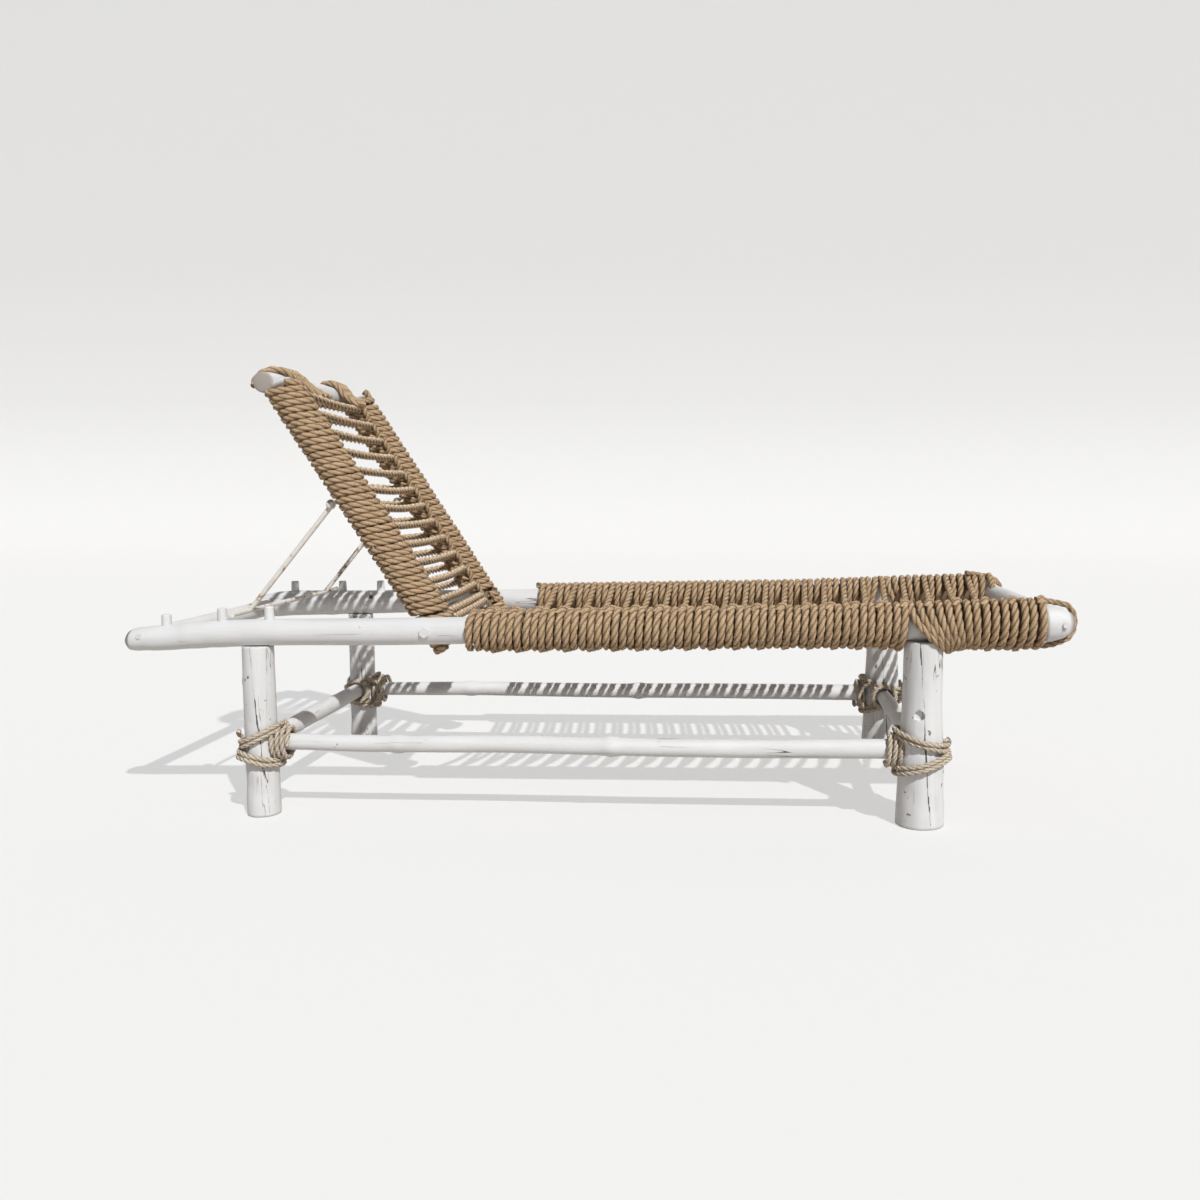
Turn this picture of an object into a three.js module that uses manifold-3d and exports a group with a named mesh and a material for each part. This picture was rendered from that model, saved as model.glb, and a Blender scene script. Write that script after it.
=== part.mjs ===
import * as THREE from 'three';
import { mergeVertices } from 'three/addons/utils/BufferGeometryUtils.js';
import Module from 'manifold-3d';

const wasm = await Module();
wasm.setup();
const { Manifold, Mesh: SolidMesh } = wasm;

// Driving dimensions in millimetres, X along the bed with its head at -X, Z up.
const fit = 0.3;
const overrun = 5;
const spotClearance = 1;
const railSpacing = 620;
const railHeadEnd = 1001;
const railFootEnd = 984;
const railHeight = 406;
const railRise = 0.0191;
const railRadius = 28.5;
const railHeadSwell = 5;
const railFootSwell = 9;
const footSwellStart = 364.5;
const railStations = 10;
const railRounding = 38;
const seatDepth = 4;

const legHeadInset = 281;
const legFootInset = 304;
const legHeadRadius = 35;
const legFootTopRadius = 40;
const legFootBaseRadius = 50;
const legTenonRadius = 17;
const legTenonLength = 30;
const legSocketDeeper = 1;
const knotHoleRadius = 10.5;
const knotHoleDepth = 7;
const knotHoleHeight = 223;

const stretcherHeight = 157;
const stretcherRadius = 19.5;
const stretcherTenonRadius = 12;
const stretcherTenonDepth = 16;
const stretcherShoulder = 1;
const knotSwell = 5;

const headBarInset = 39;
const footBarInset = 27;
const headBarRadius = 24;
const footBarRadius = 26;
const barTenonRadius = 15;
const barTenonDepth = 20;
const barSaddle = 8;

const screwRadius = 2.5;
const screwHeadRadius = 6;
const screwHeadLength = 4;
const screwLength = 62;
const screwSink = 0.8;
const screwTipGap = 2;

const pegsPastLegRight = [196, 74, -28];
const pegsPastLegLeft = [178, 47, -57];
const pegRadius = 10;
const pegHeight = 26;
const pegDepth = 22;

const pivotX = -352;
const boltRadius = 5;
const boltHeadRadius = 11;
const boltHeadLength = 6;
const nutRadius = 9;
const nutLength = 8;
const boltTipReach = 4;
const spacerRadius = 10;
const faceDepth = 2;

const backInset = 85;
const backAngle = 57.5;
const backPoleRadius = 25;
const backTail = 42;
const backPoleEdge = 3;
const topBarDistance = 640;
const topBarSetback = 28;
const backPoleShort = 8;
const topBarRadius = 25;
const topBarOverhang = 12;
const topBarEdge = 4;
const bottomBarDistance = 24;
const bottomBarRadius = 14;
const bottomBarTenonRadius = 9;
const bottomBarTenonDepth = 16;
const bottomBarSaddle = 2;

const ropeRadius = 7.75;
const ropeSpread = 1;
const topBandReach = 30;
const topBandInset = 62;
const legPassReach = 10;
const footLoopTuck = 0.3;
const footLoopSlack = 1;
const lashDip = 26;
const lashRadius = 5.5;
const lashSpread = 1.5;
const footRopeSeat = -0.45;
const lashingSeat = -0.55;
const ropeTurns = 1;
const ropeSteps = 8;
const ropeSides = 4;
const seatTurnSpacing = 27.6;
const seatPastPivot = 71;
const seatBeforeLeg = 49;
const footTurnSpacing = 20.7;
const footPastLeg = 51;
const footBeforeBar = 14;
const backTurnSpacing = 21.9;
const backStart = 48;
const backBelowTopBar = 38;

const eyeRise = 344;
const eyeSetback = 54;
const eyeRingRadius = 8;
const eyeWireRadius = 3;
const eyeShankRadius = 2.7;
const eyeShankDepth = 14;
const propRodRadius = 5.5;
const propPinRadius = 4;
const propPinHeadRadius = 6.5;
const propPinHeadLength = 2.5;
const propRodTopReach = 2;
const propGap = 0.5;
const propBarLift = 2.2;

// Derived values.
const railSlope = Math.atan(railRise);
const railHalf = railSpacing / 2;
const backHalf = railHalf - backInset;
const topBarHalf = backHalf + topBarOverhang;
const legHeadX = legHeadInset - railHeadEnd;
const legFootX = railFootEnd - legFootInset;
const headBarX = headBarInset - railHeadEnd;
const footBarX = railFootEnd - footBarInset;
const pegPlaces = {
  right: pegsPastLegRight.map((distance) => legHeadX - distance),
  left: pegsPastLegLeft.map((distance) => legHeadX - distance),
};
const seatStart = pivotX + seatPastPivot;
const seatEnd = legFootX - seatBeforeLeg;
const footStart = legFootX + footPastLeg;
const footEnd = footBarX - footBarRadius - footBeforeBar;
const backEnd = topBarDistance - backBelowTopBar;
const seatLevels = levelsIn(seatEnd - seatStart, seatTurnSpacing);
const footLevels = levelsIn(footEnd - footStart, footTurnSpacing);
const backLevels = levelsIn(backEnd - backStart, backTurnSpacing);
const lean = THREE.MathUtils.degToRad(backAngle);
const pivot = new THREE.Vector3(pivotX, 0, railAxisZ(pivotX));
const backTurn = -(Math.PI - lean);
const backPitch = (backEnd - backStart) / ((ropeTurns + 1) * backLevels + ropeTurns);
const eyeTurn = Math.round((eyeRise - backStart) / backPitch - 1 / 2);
const eyeDistance = backStart + (eyeTurn + 1 / 2) * backPitch;
const eyePoint = backPoint(eyeDistance, 0, eyeSetback);
const propBarHalf = railHalf - pegRadius - propGap;
const propBarX = pegPlaces.right[1] + pegRadius + propRodRadius + fit;
const propBarPoint = new THREE.Vector3(propBarX, 0, propBarZ());
const propRodY = backHalf - eyeWireRadius - propGap - propRodRadius;

const colours = {
  paint: { colour: '#e9e8e6', roughness: 0.62, metalness: 0 },
  rope: { colour: '#b0946c', roughness: 0.95, metalness: 0 },
  lashing: { colour: '#cdbb9c', roughness: 0.93, metalness: 0 },
  rod: { colour: '#dcdad6', roughness: 0.5, metalness: 0.1 },
  steel: { colour: '#8b8a88', roughness: 0.4, metalness: 0.9 },
};

const charpai = new THREE.Group();
charpai.name = 'charpai';

// Places.
function levelsIn(length, spacing) {
  return Math.round((length / spacing - ropeTurns) / (ropeTurns + 1));
}

function railAxisZ(x) {
  return railHeight + railRise * x;
}

function railRadiusAt(x) {
  const toHead = THREE.MathUtils.smoothstep(-x, -pivotX, railHeadEnd - headBarRadius);
  const toFoot = THREE.MathUtils.smoothstep(x, footSwellStart, footBarX);
  return railRadius + railHeadSwell * toHead + railFootSwell * toFoot;
}

function backPoint(distance, y, setback) {
  const along = new THREE.Vector3(-Math.cos(lean), 0, Math.sin(lean));
  const behind = new THREE.Vector3(-Math.sin(lean), 0, -Math.cos(lean));
  const point = pivot.clone().addScaledVector(along, distance).addScaledVector(behind, setback);
  point.y = y;
  return point;
}

function propBarZ() {
  const reach = pegRadius + propGap;
  const crown = Math.sqrt(railRadiusAt(propBarX) ** 2 - reach ** 2);
  return railAxisZ(propBarX) + crown + propBarLift + propRodRadius;
}

// Solids.
function closed(geometry) {
  const plain = geometry.index ? geometry.toNonIndexed() : geometry.clone();
  plain.deleteAttribute('normal');
  plain.deleteAttribute('uv');
  const merged = mergeVertices(plain, 1e-4);
  const index = [];
  const source = merged.index.array;
  for (let i = 0; i < source.length; i += 3) {
    const [a, b, c] = [source[i], source[i + 1], source[i + 2]];
    if (a !== b && b !== c && a !== c) index.push(a, b, c);
  }
  merged.setIndex(index);
  if (volume(merged) < 0) {
    for (let i = 0; i < index.length; i += 3) {
      [index[i + 1], index[i + 2]] = [index[i + 2], index[i + 1]];
    }
    merged.setIndex(index);
  }
  return merged;
}

function volume(geometry) {
  const position = geometry.attributes.position;
  const index = geometry.index.array;
  const corners = [new THREE.Vector3(), new THREE.Vector3(), new THREE.Vector3()];
  let total = 0;
  for (let i = 0; i < index.length; i += 3) {
    corners.forEach((corner, k) => corner.fromBufferAttribute(position, index[i + k]));
    total += corners[0].dot(corners[1].clone().cross(corners[2])) / 6;
  }
  return total;
}

function solid(geometry) {
  const ready = closed(geometry);
  const mesh = new SolidMesh({
    numProp: 3,
    vertProperties: new Float32Array(ready.attributes.position.array),
    triVerts: new Uint32Array(ready.index.array),
  });
  return new Manifold(mesh);
}

function carve(body, cutters) {
  return cutters.reduce((rest, cutter) => rest.subtract(cutter), body);
}

function fuse(parts) {
  return parts.reduce((whole, part) => whole.add(part));
}

function surface(body) {
  const mesh = body.getMesh();
  const geometry = new THREE.BufferGeometry();
  const stride = mesh.numProp;
  const points = [];
  for (let i = 0; i < mesh.vertProperties.length; i += stride) {
    points.push(mesh.vertProperties[i], mesh.vertProperties[i + 1], mesh.vertProperties[i + 2]);
  }
  geometry.setAttribute('position', new THREE.Float32BufferAttribute(points, 3));
  geometry.setIndex(Array.from(mesh.triVerts));
  return geometry;
}

function place(name, shape, finish) {
  const geometry = shape instanceof THREE.BufferGeometry ? closed(shape) : surface(shape);
  geometry.computeVertexNormals();
  const look = colours[finish];
  const material = new THREE.MeshStandardMaterial({
    color: look.colour,
    roughness: look.roughness,
    metalness: look.metalness,
  });
  const mesh = new THREE.Mesh(geometry, material);
  mesh.name = name;
  charpai.add(mesh);
}

function roundBar(radius, from, to, sides = 20) {
  const geometry = new THREE.CylinderGeometry(radius, radius, to - from, sides);
  geometry.translate(0, (from + to) / 2, 0);
  return geometry;
}

function upright(radius, x, y, fromZ, toZ, sides) {
  return solid(roundBar(radius, fromZ, toZ, sides).rotateX(Math.PI / 2).translate(x, y, 0));
}

function across(radius, x, z, fromY, toY, sides) {
  const [low, high] = fromY < toY ? [fromY, toY] : [toY, fromY];
  return solid(roundBar(radius, low, high, sides).translate(x, 0, z));
}

function pole(girth, sides = 20) {
  const profile = girth.map(([distance, radius]) => new THREE.Vector2(radius, distance));
  return new THREE.LatheGeometry(profile, sides).rotateZ(-Math.PI / 2);
}

// Distances and radii of a pole with rounded tips, which narrow in two steps.
function roundedGirth(from, to, radiusAt, stations, rounding) {
  const girth = [
    [from, 0],
    [from + rounding * 0.06, radiusAt(from) * 0.62],
    [from + rounding * 0.4, radiusAt(from) * 0.9],
  ];
  for (let i = 0; i <= stations; i++) {
    const at = from + rounding + ((to - from - 2 * rounding) * i) / stations;
    girth.push([at, radiusAt(at)]);
  }
  girth.push([to - rounding * 0.4, radiusAt(to) * 0.9]);
  girth.push([to - rounding * 0.06, radiusAt(to) * 0.62]);
  girth.push([to, 0]);
  return girth;
}

// A rope laid along a list of points, as one closed tube of few sides.
function ropeTube(points, radius, sides) {
  const path = points.map((point) => point.clone());
  const count = path.length;
  const positions = [];
  const index = [];
  const tangents = path.map((point, i) => {
    const before = path[Math.max(i - 1, 0)];
    const after = path[Math.min(i + 1, count - 1)];
    return after.clone().sub(before).normalize();
  });
  const firstSide = Math.abs(tangents[0].y) < 0.9 ? new THREE.Vector3(0, 1, 0) : new THREE.Vector3(1, 0, 0);
  let normal = firstSide.sub(tangents[0].clone().multiplyScalar(firstSide.dot(tangents[0]))).normalize();
  path.forEach((point, i) => {
    normal = normal.clone().sub(tangents[i].clone().multiplyScalar(normal.dot(tangents[i]))).normalize();
    const binormal = tangents[i].clone().cross(normal);
    for (let k = 0; k < sides; k++) {
      const turn = (2 * Math.PI * k) / sides;
      const corner = point.clone();
      corner.addScaledVector(normal, radius * Math.cos(turn));
      corner.addScaledVector(binormal, radius * Math.sin(turn));
      positions.push(corner.x, corner.y, corner.z);
    }
  });
  for (let i = 0; i < count - 1; i++) {
    for (let k = 0; k < sides; k++) {
      const next = (k + 1) % sides;
      const [a, b] = [i * sides + k, i * sides + next];
      const [c, d] = [a + sides, b + sides];
      index.push(a, b, d, a, d, c);
    }
  }
  for (let k = 1; k < sides - 1; k++) {
    index.push(0, k + 1, k);
    const last = (count - 1) * sides;
    index.push(last, last + k, last + k + 1);
  }
  const geometry = new THREE.BufferGeometry();
  geometry.setAttribute('position', new THREE.Float32BufferAttribute(positions, 3));
  geometry.setIndex(index);
  return geometry;
}

// The least clear gap of a rope to itself, between stretches that are not neighbours along it.
function selfGap(points, radius) {
  const dense = [];
  let travelled = 0;
  points.forEach((point, i) => {
    if (i === 0) return;
    const from = points[i - 1];
    const length = from.distanceTo(point);
    const pieces = Math.max(1, Math.ceil(length / radius));
    for (let k = 0; k < pieces; k++) {
      dense.push({ at: travelled + (length * k) / pieces, point: from.clone().lerp(point, k / pieces) });
    }
    travelled += length;
  });
  let least = Infinity;
  for (let i = 0; i < dense.length; i++) {
    for (let k = i + 1; k < dense.length; k++) {
      if (dense[k].at - dense[i].at < 5 * radius) continue;
      least = Math.min(least, dense[i].point.distanceTo(dense[k].point));
    }
  }
  return least - 2 * radius;
}

function ropeNode(name, points, radius, finish, sides = ropeSides) {
  console.log(`${name}: least gap to itself ${selfGap(points, radius).toFixed(2)} mm`);
  place(name, ropeTube(points, radius, sides), finish);
}

// Side rails: two long poles with their sockets, holes and flats cut in.
function railSolid(y) {
  const outward = Math.sign(y);
  const girth = roundedGirth(-railHeadEnd, railFootEnd, railRadiusAt, railStations, railRounding);
  const body = solid(pole(girth, 18).rotateY(-railSlope).translate(0, y, railHeight));
  const cutters = [];
  for (const legX of [legHeadX, legFootX]) {
    const seat = railSeatZ(legX);
    const block = new THREE.BoxGeometry(railRadius * 4, railRadius * 4, railRadius * 2);
    cutters.push(solid(block.translate(legX, y, seat - railRadius)));
    const socketTop = seat + legTenonLength + legSocketDeeper;
    cutters.push(upright(legTenonRadius + fit, legX, y, seat - overrun, socketTop));
  }
  for (const x of [headBarX, footBarX]) {
    const z = railAxisZ(x);
    const inner = y - outward * railRadiusAt(x);
    const socketEnd = inner + outward * (barTenonDepth + fit);
    cutters.push(across(barTenonRadius + fit, x, z, inner - outward * overrun, socketEnd));
    const outer = y + outward * railRadiusAt(x);
    const past = outer + outward * overrun;
    cutters.push(across(screwRadius + fit, x, z, inner, past, 10));
    cutters.push(across(screwHeadRadius + fit, x, z, outer - outward * screwHeadLength, past, 14));
  }
  for (const x of y < 0 ? pegPlaces.right : pegPlaces.left) {
    const crown = railAxisZ(x) + railRadiusAt(x);
    cutters.push(upright(pegRadius + fit, x, y, crown - pegDepth - fit, crown + overrun, 16));
  }
  const outerFace = y + outward * (railRadius - faceDepth);
  const innerFace = y - outward * (railRadius - faceDepth);
  const outerPast = outerFace + outward * overrun;
  const innerPast = innerFace - outward * overrun;
  cutters.push(across(boltRadius + fit, pivot.x, pivot.z, y - railRadius * 2, y + railRadius * 2, 14));
  cutters.push(across(boltHeadRadius + spotClearance, pivot.x, pivot.z, outerFace, outerPast));
  cutters.push(across(spacerRadius + spotClearance, pivot.x, pivot.z, innerFace, innerPast));
  return carve(body, cutters);
}

function railSeatZ(legX) {
  return railAxisZ(legX) - railRadiusAt(legX) + seatDepth;
}

// Legs: upright posts with a round tenon at the top and mortises for the stretchers.
function legSolid(legX, y) {
  const inward = -Math.sign(y);
  const alongBed = -Math.sign(legX);
  const top = railSeatZ(legX) - fit;
  const [baseRadius, topRadius] = legRadii(legX);
  const profile = [
    new THREE.Vector2(0, 0),
    new THREE.Vector2(baseRadius, 0),
    new THREE.Vector2((baseRadius * 3 + topRadius) / 4, top / 4),
    new THREE.Vector2((baseRadius + topRadius) / 2, top / 2),
    new THREE.Vector2(topRadius, top * 0.86),
    new THREE.Vector2(topRadius, top),
    new THREE.Vector2(0, top),
  ];
  const post = solid(new THREE.LatheGeometry(profile, 24).rotateX(Math.PI / 2).translate(legX, y, 0));
  const tenon = upright(legTenonRadius, legX, y, top - overrun, top + legTenonLength);
  const reach = legRadiusAt(legX, stretcherHeight) - stretcherTenonDepth - fit;
  const far = baseRadius * 2;
  const mortiseRadius = stretcherTenonRadius + fit;
  const sideMortise = new THREE.CylinderGeometry(mortiseRadius, mortiseRadius, far - reach, 16);
  sideMortise.rotateZ(Math.PI / 2).translate(legX + alongBed * (far + reach) / 2, y, stretcherHeight);
  const [nearY, farY] = [y + inward * reach, y + inward * far];
  const endMortise = across(mortiseRadius, legX, stretcherHeight, nearY, farY, 16);
  const cutters = [solid(sideMortise), endMortise];
  if (legX === legFootX && y < 0) {
    const skin = legRadiusAt(legX, knotHoleHeight);
    const [bottom, mouth] = [y - skin + knotHoleDepth, y - skin - overrun];
    cutters.push(across(knotHoleRadius, legX, knotHoleHeight, bottom, mouth, 14));
  }
  return carve(fuse([post, tenon]), cutters);
}

function legRadii(legX) {
  return legX === legFootX ? [legFootBaseRadius, legFootTopRadius] : [legHeadRadius, legHeadRadius];
}

function legRadiusAt(legX, z) {
  const [baseRadius, topRadius] = legRadii(legX);
  const top = railSeatZ(legX);
  return baseRadius + (topRadius - baseRadius) * Math.min(z / top, 1);
}

// Lower stretchers: thin poles with two knots, ending in tenons inside the legs.
function sideStretcher(y) {
  const from = legHeadX + legRadiusAt(legHeadX, stretcherHeight);
  const to = legFootX - legRadiusAt(legFootX, stretcherHeight);
  return stretcherSolid(from, to).translate([0, y, stretcherHeight]);
}

function endStretcher(legX) {
  const skin = railHalf - legRadiusAt(legX, stretcherHeight);
  return stretcherSolid(-skin, skin).rotate([0, 0, 90]).translate([legX, 0, stretcherHeight]);
}

function stretcherSolid(from, to) {
  const length = to - from;
  const knots = [from + length * 0.2, from + length * 0.55];
  const lift = stretcherRadius * 0.1;
  const girth = [
    [from - stretcherTenonDepth, 0],
    [from - stretcherTenonDepth, stretcherTenonRadius],
    [from + stretcherShoulder, stretcherTenonRadius],
    [from + stretcherShoulder, stretcherRadius - lift],
  ];
  knots.forEach((knot) => {
    girth.push([knot - knotSwell * 5, stretcherRadius - lift]);
    girth.push([knot, stretcherRadius + knotSwell]);
    girth.push([knot + knotSwell * 5, stretcherRadius]);
  });
  girth.push(
    [to - stretcherShoulder, stretcherRadius],
    [to - stretcherShoulder, stretcherTenonRadius],
    [to + stretcherTenonDepth, stretcherTenonRadius],
    [to + stretcherTenonDepth, 0],
  );
  return solid(pole(girth, 16));
}

// End crossbars: butted between the rails, each on two tenons, with a pilot hole for a screw.
function crossbarSolid(x, radius) {
  const z = railAxisZ(x);
  const inner = railHalf - railRadiusAt(x);
  const bar = across(radius, x, z, -inner - barSaddle, inner + barSaddle, 18);
  const railGuards = [-1, 1].map((side) => {
    const girth = railRadiusAt(x) + fit;
    const guard = roundBar(girth, x - radius * 2, x + radius * 2, 24).rotateZ(-Math.PI / 2);
    return solid(guard.rotateY(-railSlope).translate(0, side * railHalf, railHeight));
  });
  const tenon = across(barTenonRadius, x, z, -inner - barTenonDepth, inner + barTenonDepth, 18);
  const pilots = [-1, 1].map((side) => {
    const tip = side * (railHalf + railRadiusAt(x) - screwLength - screwTipGap);
    return across(screwRadius + fit, x, z, tip, side * railHalf, 10);
  });
  return carve(fuse([carve(bar, railGuards), tenon]), pilots);
}

function screwSolid(x, side) {
  const z = railAxisZ(x);
  const outer = side * (railHalf + railRadiusAt(x));
  const underHead = outer - side * (screwHeadLength - fit);
  const head = across(screwHeadRadius, x, z, underHead, outer - side * screwSink, 14);
  const shank = across(screwRadius, x, z, outer - side * screwLength, underHead + side * fit, 10);
  return fuse([head, shank]);
}

// Pegs: dowels standing in the top of the rails, which the prop bar bears against.
function pegSolid(x, side) {
  const crown = railAxisZ(x) + railRadiusAt(x);
  return upright(pegRadius, x, side * railHalf, crown - pegDepth, crown + pegHeight, 14);
}

// Pivot: a bolt through the rail, a spacer and the back pole, with a nut inside.
function boltSolid(side) {
  const headFace = side * (railHalf + railRadius - faceDepth + fit);
  const tip = side * (backHalf - backPoleRadius - nutLength - boltTipReach);
  const head = across(boltHeadRadius, pivot.x, pivot.z, headFace, headFace + side * boltHeadLength, 6);
  const shank = across(boltRadius, pivot.x, pivot.z, tip, headFace + side * fit, 14);
  return fuse([head, shank]);
}

function spacerSolid(side) {
  const outer = side * (railHalf - railRadius + faceDepth - fit);
  const inner = side * (backHalf + backPoleRadius - faceDepth + fit);
  const sleeve = across(spacerRadius, pivot.x, pivot.z, inner, outer, 14);
  return carve(sleeve, [across(boltRadius + fit, pivot.x, pivot.z, 0, side * railSpacing, 14)]);
}

function nutSolid(side) {
  const face = side * (backHalf - backPoleRadius + faceDepth - fit);
  const nut = across(nutRadius, pivot.x, pivot.z, face, face - side * nutLength, 6);
  return carve(nut, [across(boltRadius + fit, pivot.x, pivot.z, 0, side * railSpacing, 14)]);
}

// Back frame, in its own axes: X along the poles from the pivot, Z behind the back.
function inBack(shape) {
  const matrix = new THREE.Matrix4().makeRotationY(backTurn).setPosition(pivot);
  return shape.transform(matrix.elements);
}

function backPoleSolid(side) {
  const y = side * backHalf;
  const girth = [
    [-backTail, 0],
    [-backTail, backPoleRadius - backPoleEdge],
    [-backTail + backPoleEdge, backPoleRadius],
    [backEnd / 2, backPoleRadius],
    [topBarDistance - backPoleShort, backPoleRadius],
    [topBarDistance - backPoleShort, 0],
  ];
  const body = solid(pole(girth, 20).translate(0, y, 0));
  const [shankEnd, shankMouth] = [backPoleRadius - eyeShankDepth - fit, backPoleRadius + overrun];
  const cutters = [
    across(topBarRadius + fit, topBarDistance, topBarSetback, -railHalf, railHalf, 24),
    across(boltRadius + fit, 0, 0, y - backPoleRadius * 2, y + backPoleRadius * 2, 14),
    upright(eyeShankRadius + fit, eyeDistance, y, shankEnd, shankMouth, 10),
  ];
  for (const face of [-1, 1]) {
    const flat = y + face * (backPoleRadius - faceDepth);
    cutters.push(across(spacerRadius + spotClearance, 0, 0, flat, flat + face * overrun, 18));
  }
  const socketEnd = y - side * (backPoleRadius - bottomBarTenonDepth - fit);
  cutters.push(across(bottomBarTenonRadius + fit, bottomBarDistance, 0, socketEnd, 0, 16));
  return inBack(carve(body, cutters));
}

function topBarSolid() {
  const girth = [
    [-topBarHalf, 0],
    [-topBarHalf, topBarRadius - topBarEdge],
    [-topBarHalf + topBarEdge, topBarRadius],
    [topBarHalf - topBarEdge, topBarRadius],
    [topBarHalf, topBarRadius - topBarEdge],
    [topBarHalf, 0],
  ];
  const bar = pole(girth, 20).rotateZ(Math.PI / 2);
  return inBack(solid(bar.translate(topBarDistance, 0, topBarSetback)));
}

function bottomBarSolid() {
  const inner = backHalf - backPoleRadius;
  const barHalf = inner + bottomBarSaddle;
  const bar = across(bottomBarRadius, bottomBarDistance, 0, -barHalf, barHalf, 16);
  const guards = [-1, 1].map((side) => {
    const guard = roundBar(backPoleRadius + fit, -backTail, backTail * 2, 20).rotateZ(-Math.PI / 2);
    return solid(guard.translate(0, side * backHalf, 0));
  });
  const tenon = across(
    bottomBarTenonRadius, bottomBarDistance, 0,
    -inner - bottomBarTenonDepth, inner + bottomBarTenonDepth, 16,
  );
  return inBack(fuse([carve(bar, guards), tenon]));
}

// Prop: two eyes on the poles, two rods hung from them and a bar along the rails.
function eyeSolid(side) {
  const ring = solid(new THREE.TorusGeometry(eyeRingRadius, eyeWireRadius, 8, 16).rotateX(Math.PI / 2)
    .translate(eyeDistance, side * backHalf, eyeSetback));
  const shankTop = eyeSetback - eyeRingRadius;
  const shankEnd = backPoleRadius - eyeShankDepth;
  const shank = upright(eyeShankRadius, eyeDistance, side * backHalf, shankEnd, shankTop, 10);
  return inBack(fuse([ring, shank]));
}

function propRodSolid(side) {
  const y = side * propRodY;
  const down = propBarPoint.clone().sub(new THREE.Vector3(eyePoint.x, 0, eyePoint.z));
  const length = down.length();
  const top = -propRodRadius - propRodTopReach;
  const rod = solid(roundBar(propRodRadius, top, length, 12).rotateX(Math.PI)
    .applyQuaternion(new THREE.Quaternion().setFromUnitVectors(new THREE.Vector3(0, -1, 0), down.normalize()))
    .translate(eyePoint.x, y, eyePoint.z));
  const outer = side * (backHalf + eyeWireRadius + propGap);
  const pin = across(propPinRadius, eyePoint.x, eyePoint.z, y, outer + side * propPinHeadLength, 12);
  const head = across(propPinHeadRadius, eyePoint.x, eyePoint.z, outer, outer + side * propPinHeadLength, 12);
  const guard = across(propRodRadius + fit, propBarPoint.x, propBarPoint.z, -railHalf, railHalf, 16);
  return carve(fuse([rod, pin, head]), [guard]);
}

function propBarSolid() {
  return across(propRodRadius, propBarPoint.x, propBarPoint.z, -propBarHalf, propBarHalf, 12);
}

// Rope webbing: one rope wound round both poles, crossing over and back at each level.
function webbingPath({ from, to, levels, half, radiusAt, toWorld, seat = fit }) {
  const pitch = (to - from) / ((ropeTurns + 1) * levels + ropeTurns);
  const turnSteps = Math.round((ropeTurns + 1 / 2) * ropeSteps);
  const points = [];
  const add = (along, side, angle) => {
    const radius = (radiusAt(along) + seat + ropeRadius) / Math.cos(Math.PI / ropeSteps);
    points.push(toWorld(along, side * (half + radius * Math.cos(angle)), radius * Math.sin(angle)));
  };
  for (let level = 0; level < levels; level++) {
    const start = from + level * (ropeTurns + 1) * pitch;
    for (let i = 0; i <= turnSteps; i++) {
      const turned = (2 * Math.PI * i) / ropeSteps;
      add(start + (pitch * i) / ropeSteps, -1, -Math.PI / 2 + turned);
    }
    const cross = start + (ropeTurns + 1 / 2) * pitch;
    for (let i = 0; i <= turnSteps; i++) {
      const turned = (2 * Math.PI * i) / ropeSteps;
      add(cross + (pitch * i) / ropeSteps, 1, Math.PI / 2 - turned);
    }
  }
  return points;
}

function bedPoint(along, y, rise) {
  return new THREE.Vector3(along, y, railAxisZ(along) + rise);
}

function bedWebbing(from, to, levels, seat) {
  return webbingPath({ from, to, levels, half: railHalf, radiusAt: railRadiusAt, toWorld: bedPoint, seat });
}

function backWebbing() {
  return webbingPath({
    from: backStart,
    to: backEnd,
    levels: backLevels,
    half: backHalf,
    radiusAt: () => backPoleRadius,
    toWorld: (along, y, rise) => backPoint(along, y, -rise),
  });
}

// Tail wrap: a single turn of rope round the foot of each back pole.
function tailWrap(side) {
  const steps = 6;
  const radius = (backPoleRadius + fit + ropeRadius) / Math.cos(Math.PI / steps);
  const points = [];
  for (let i = 0; i <= steps; i++) {
    const turned = (2 * Math.PI * i) / steps;
    const along = -backTail + ropeRadius + (2 * ropeRadius + ropeSpread) * (i / steps);
    points.push(backPoint(along, side * (backHalf + radius * Math.cos(turned)), radius * Math.sin(turned)));
  }
  return points;
}

// Strands laid side by side over a bar, one rope going over and back.
function strandsOver({ count, reach, radius, toWorld }) {
  const steps = 6;
  const spread = 2 * ropeRadius + ropeSpread;
  const arc = radius / Math.cos(Math.PI / (2 * steps));
  const points = [];
  for (let strand = 0; strand < count; strand++) {
    const shift = (strand - (count - 1) / 2) * spread;
    const way = strand % 2 === 0 ? 1 : -1;
    points.push(toWorld(shift, way * -arc, -reach));
    for (let i = 0; i <= steps; i++) {
      const angle = Math.PI * (1 - i / steps);
      points.push(toWorld(shift, way * arc * Math.cos(angle), arc * Math.sin(angle)));
    }
    points.push(toWorld(shift, way * arc, -reach));
    if (strand < count - 1) points.push(toWorld(shift + spread / 2, way * arc, -reach - ropeRadius));
  }
  return points;
}

function topBand(side) {
  return strandsOver({
    count: 3,
    reach: topBandReach,
    radius: topBarRadius + fit + ropeRadius,
    toWorld: (shift, behind, up) => {
      const y = side * (backHalf - topBandInset) + shift;
      return backPoint(topBarDistance + up, y, topBarSetback + behind);
    },
  });
}

function legPass(side) {
  return strandsOver({
    count: 3,
    reach: legPassReach,
    radius: railRadiusAt(legFootX) + fit + ropeRadius,
    toWorld: (shift, outward, up) => bedPoint(legFootX + shift, side * (railHalf + outward), up),
  });
}

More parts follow.
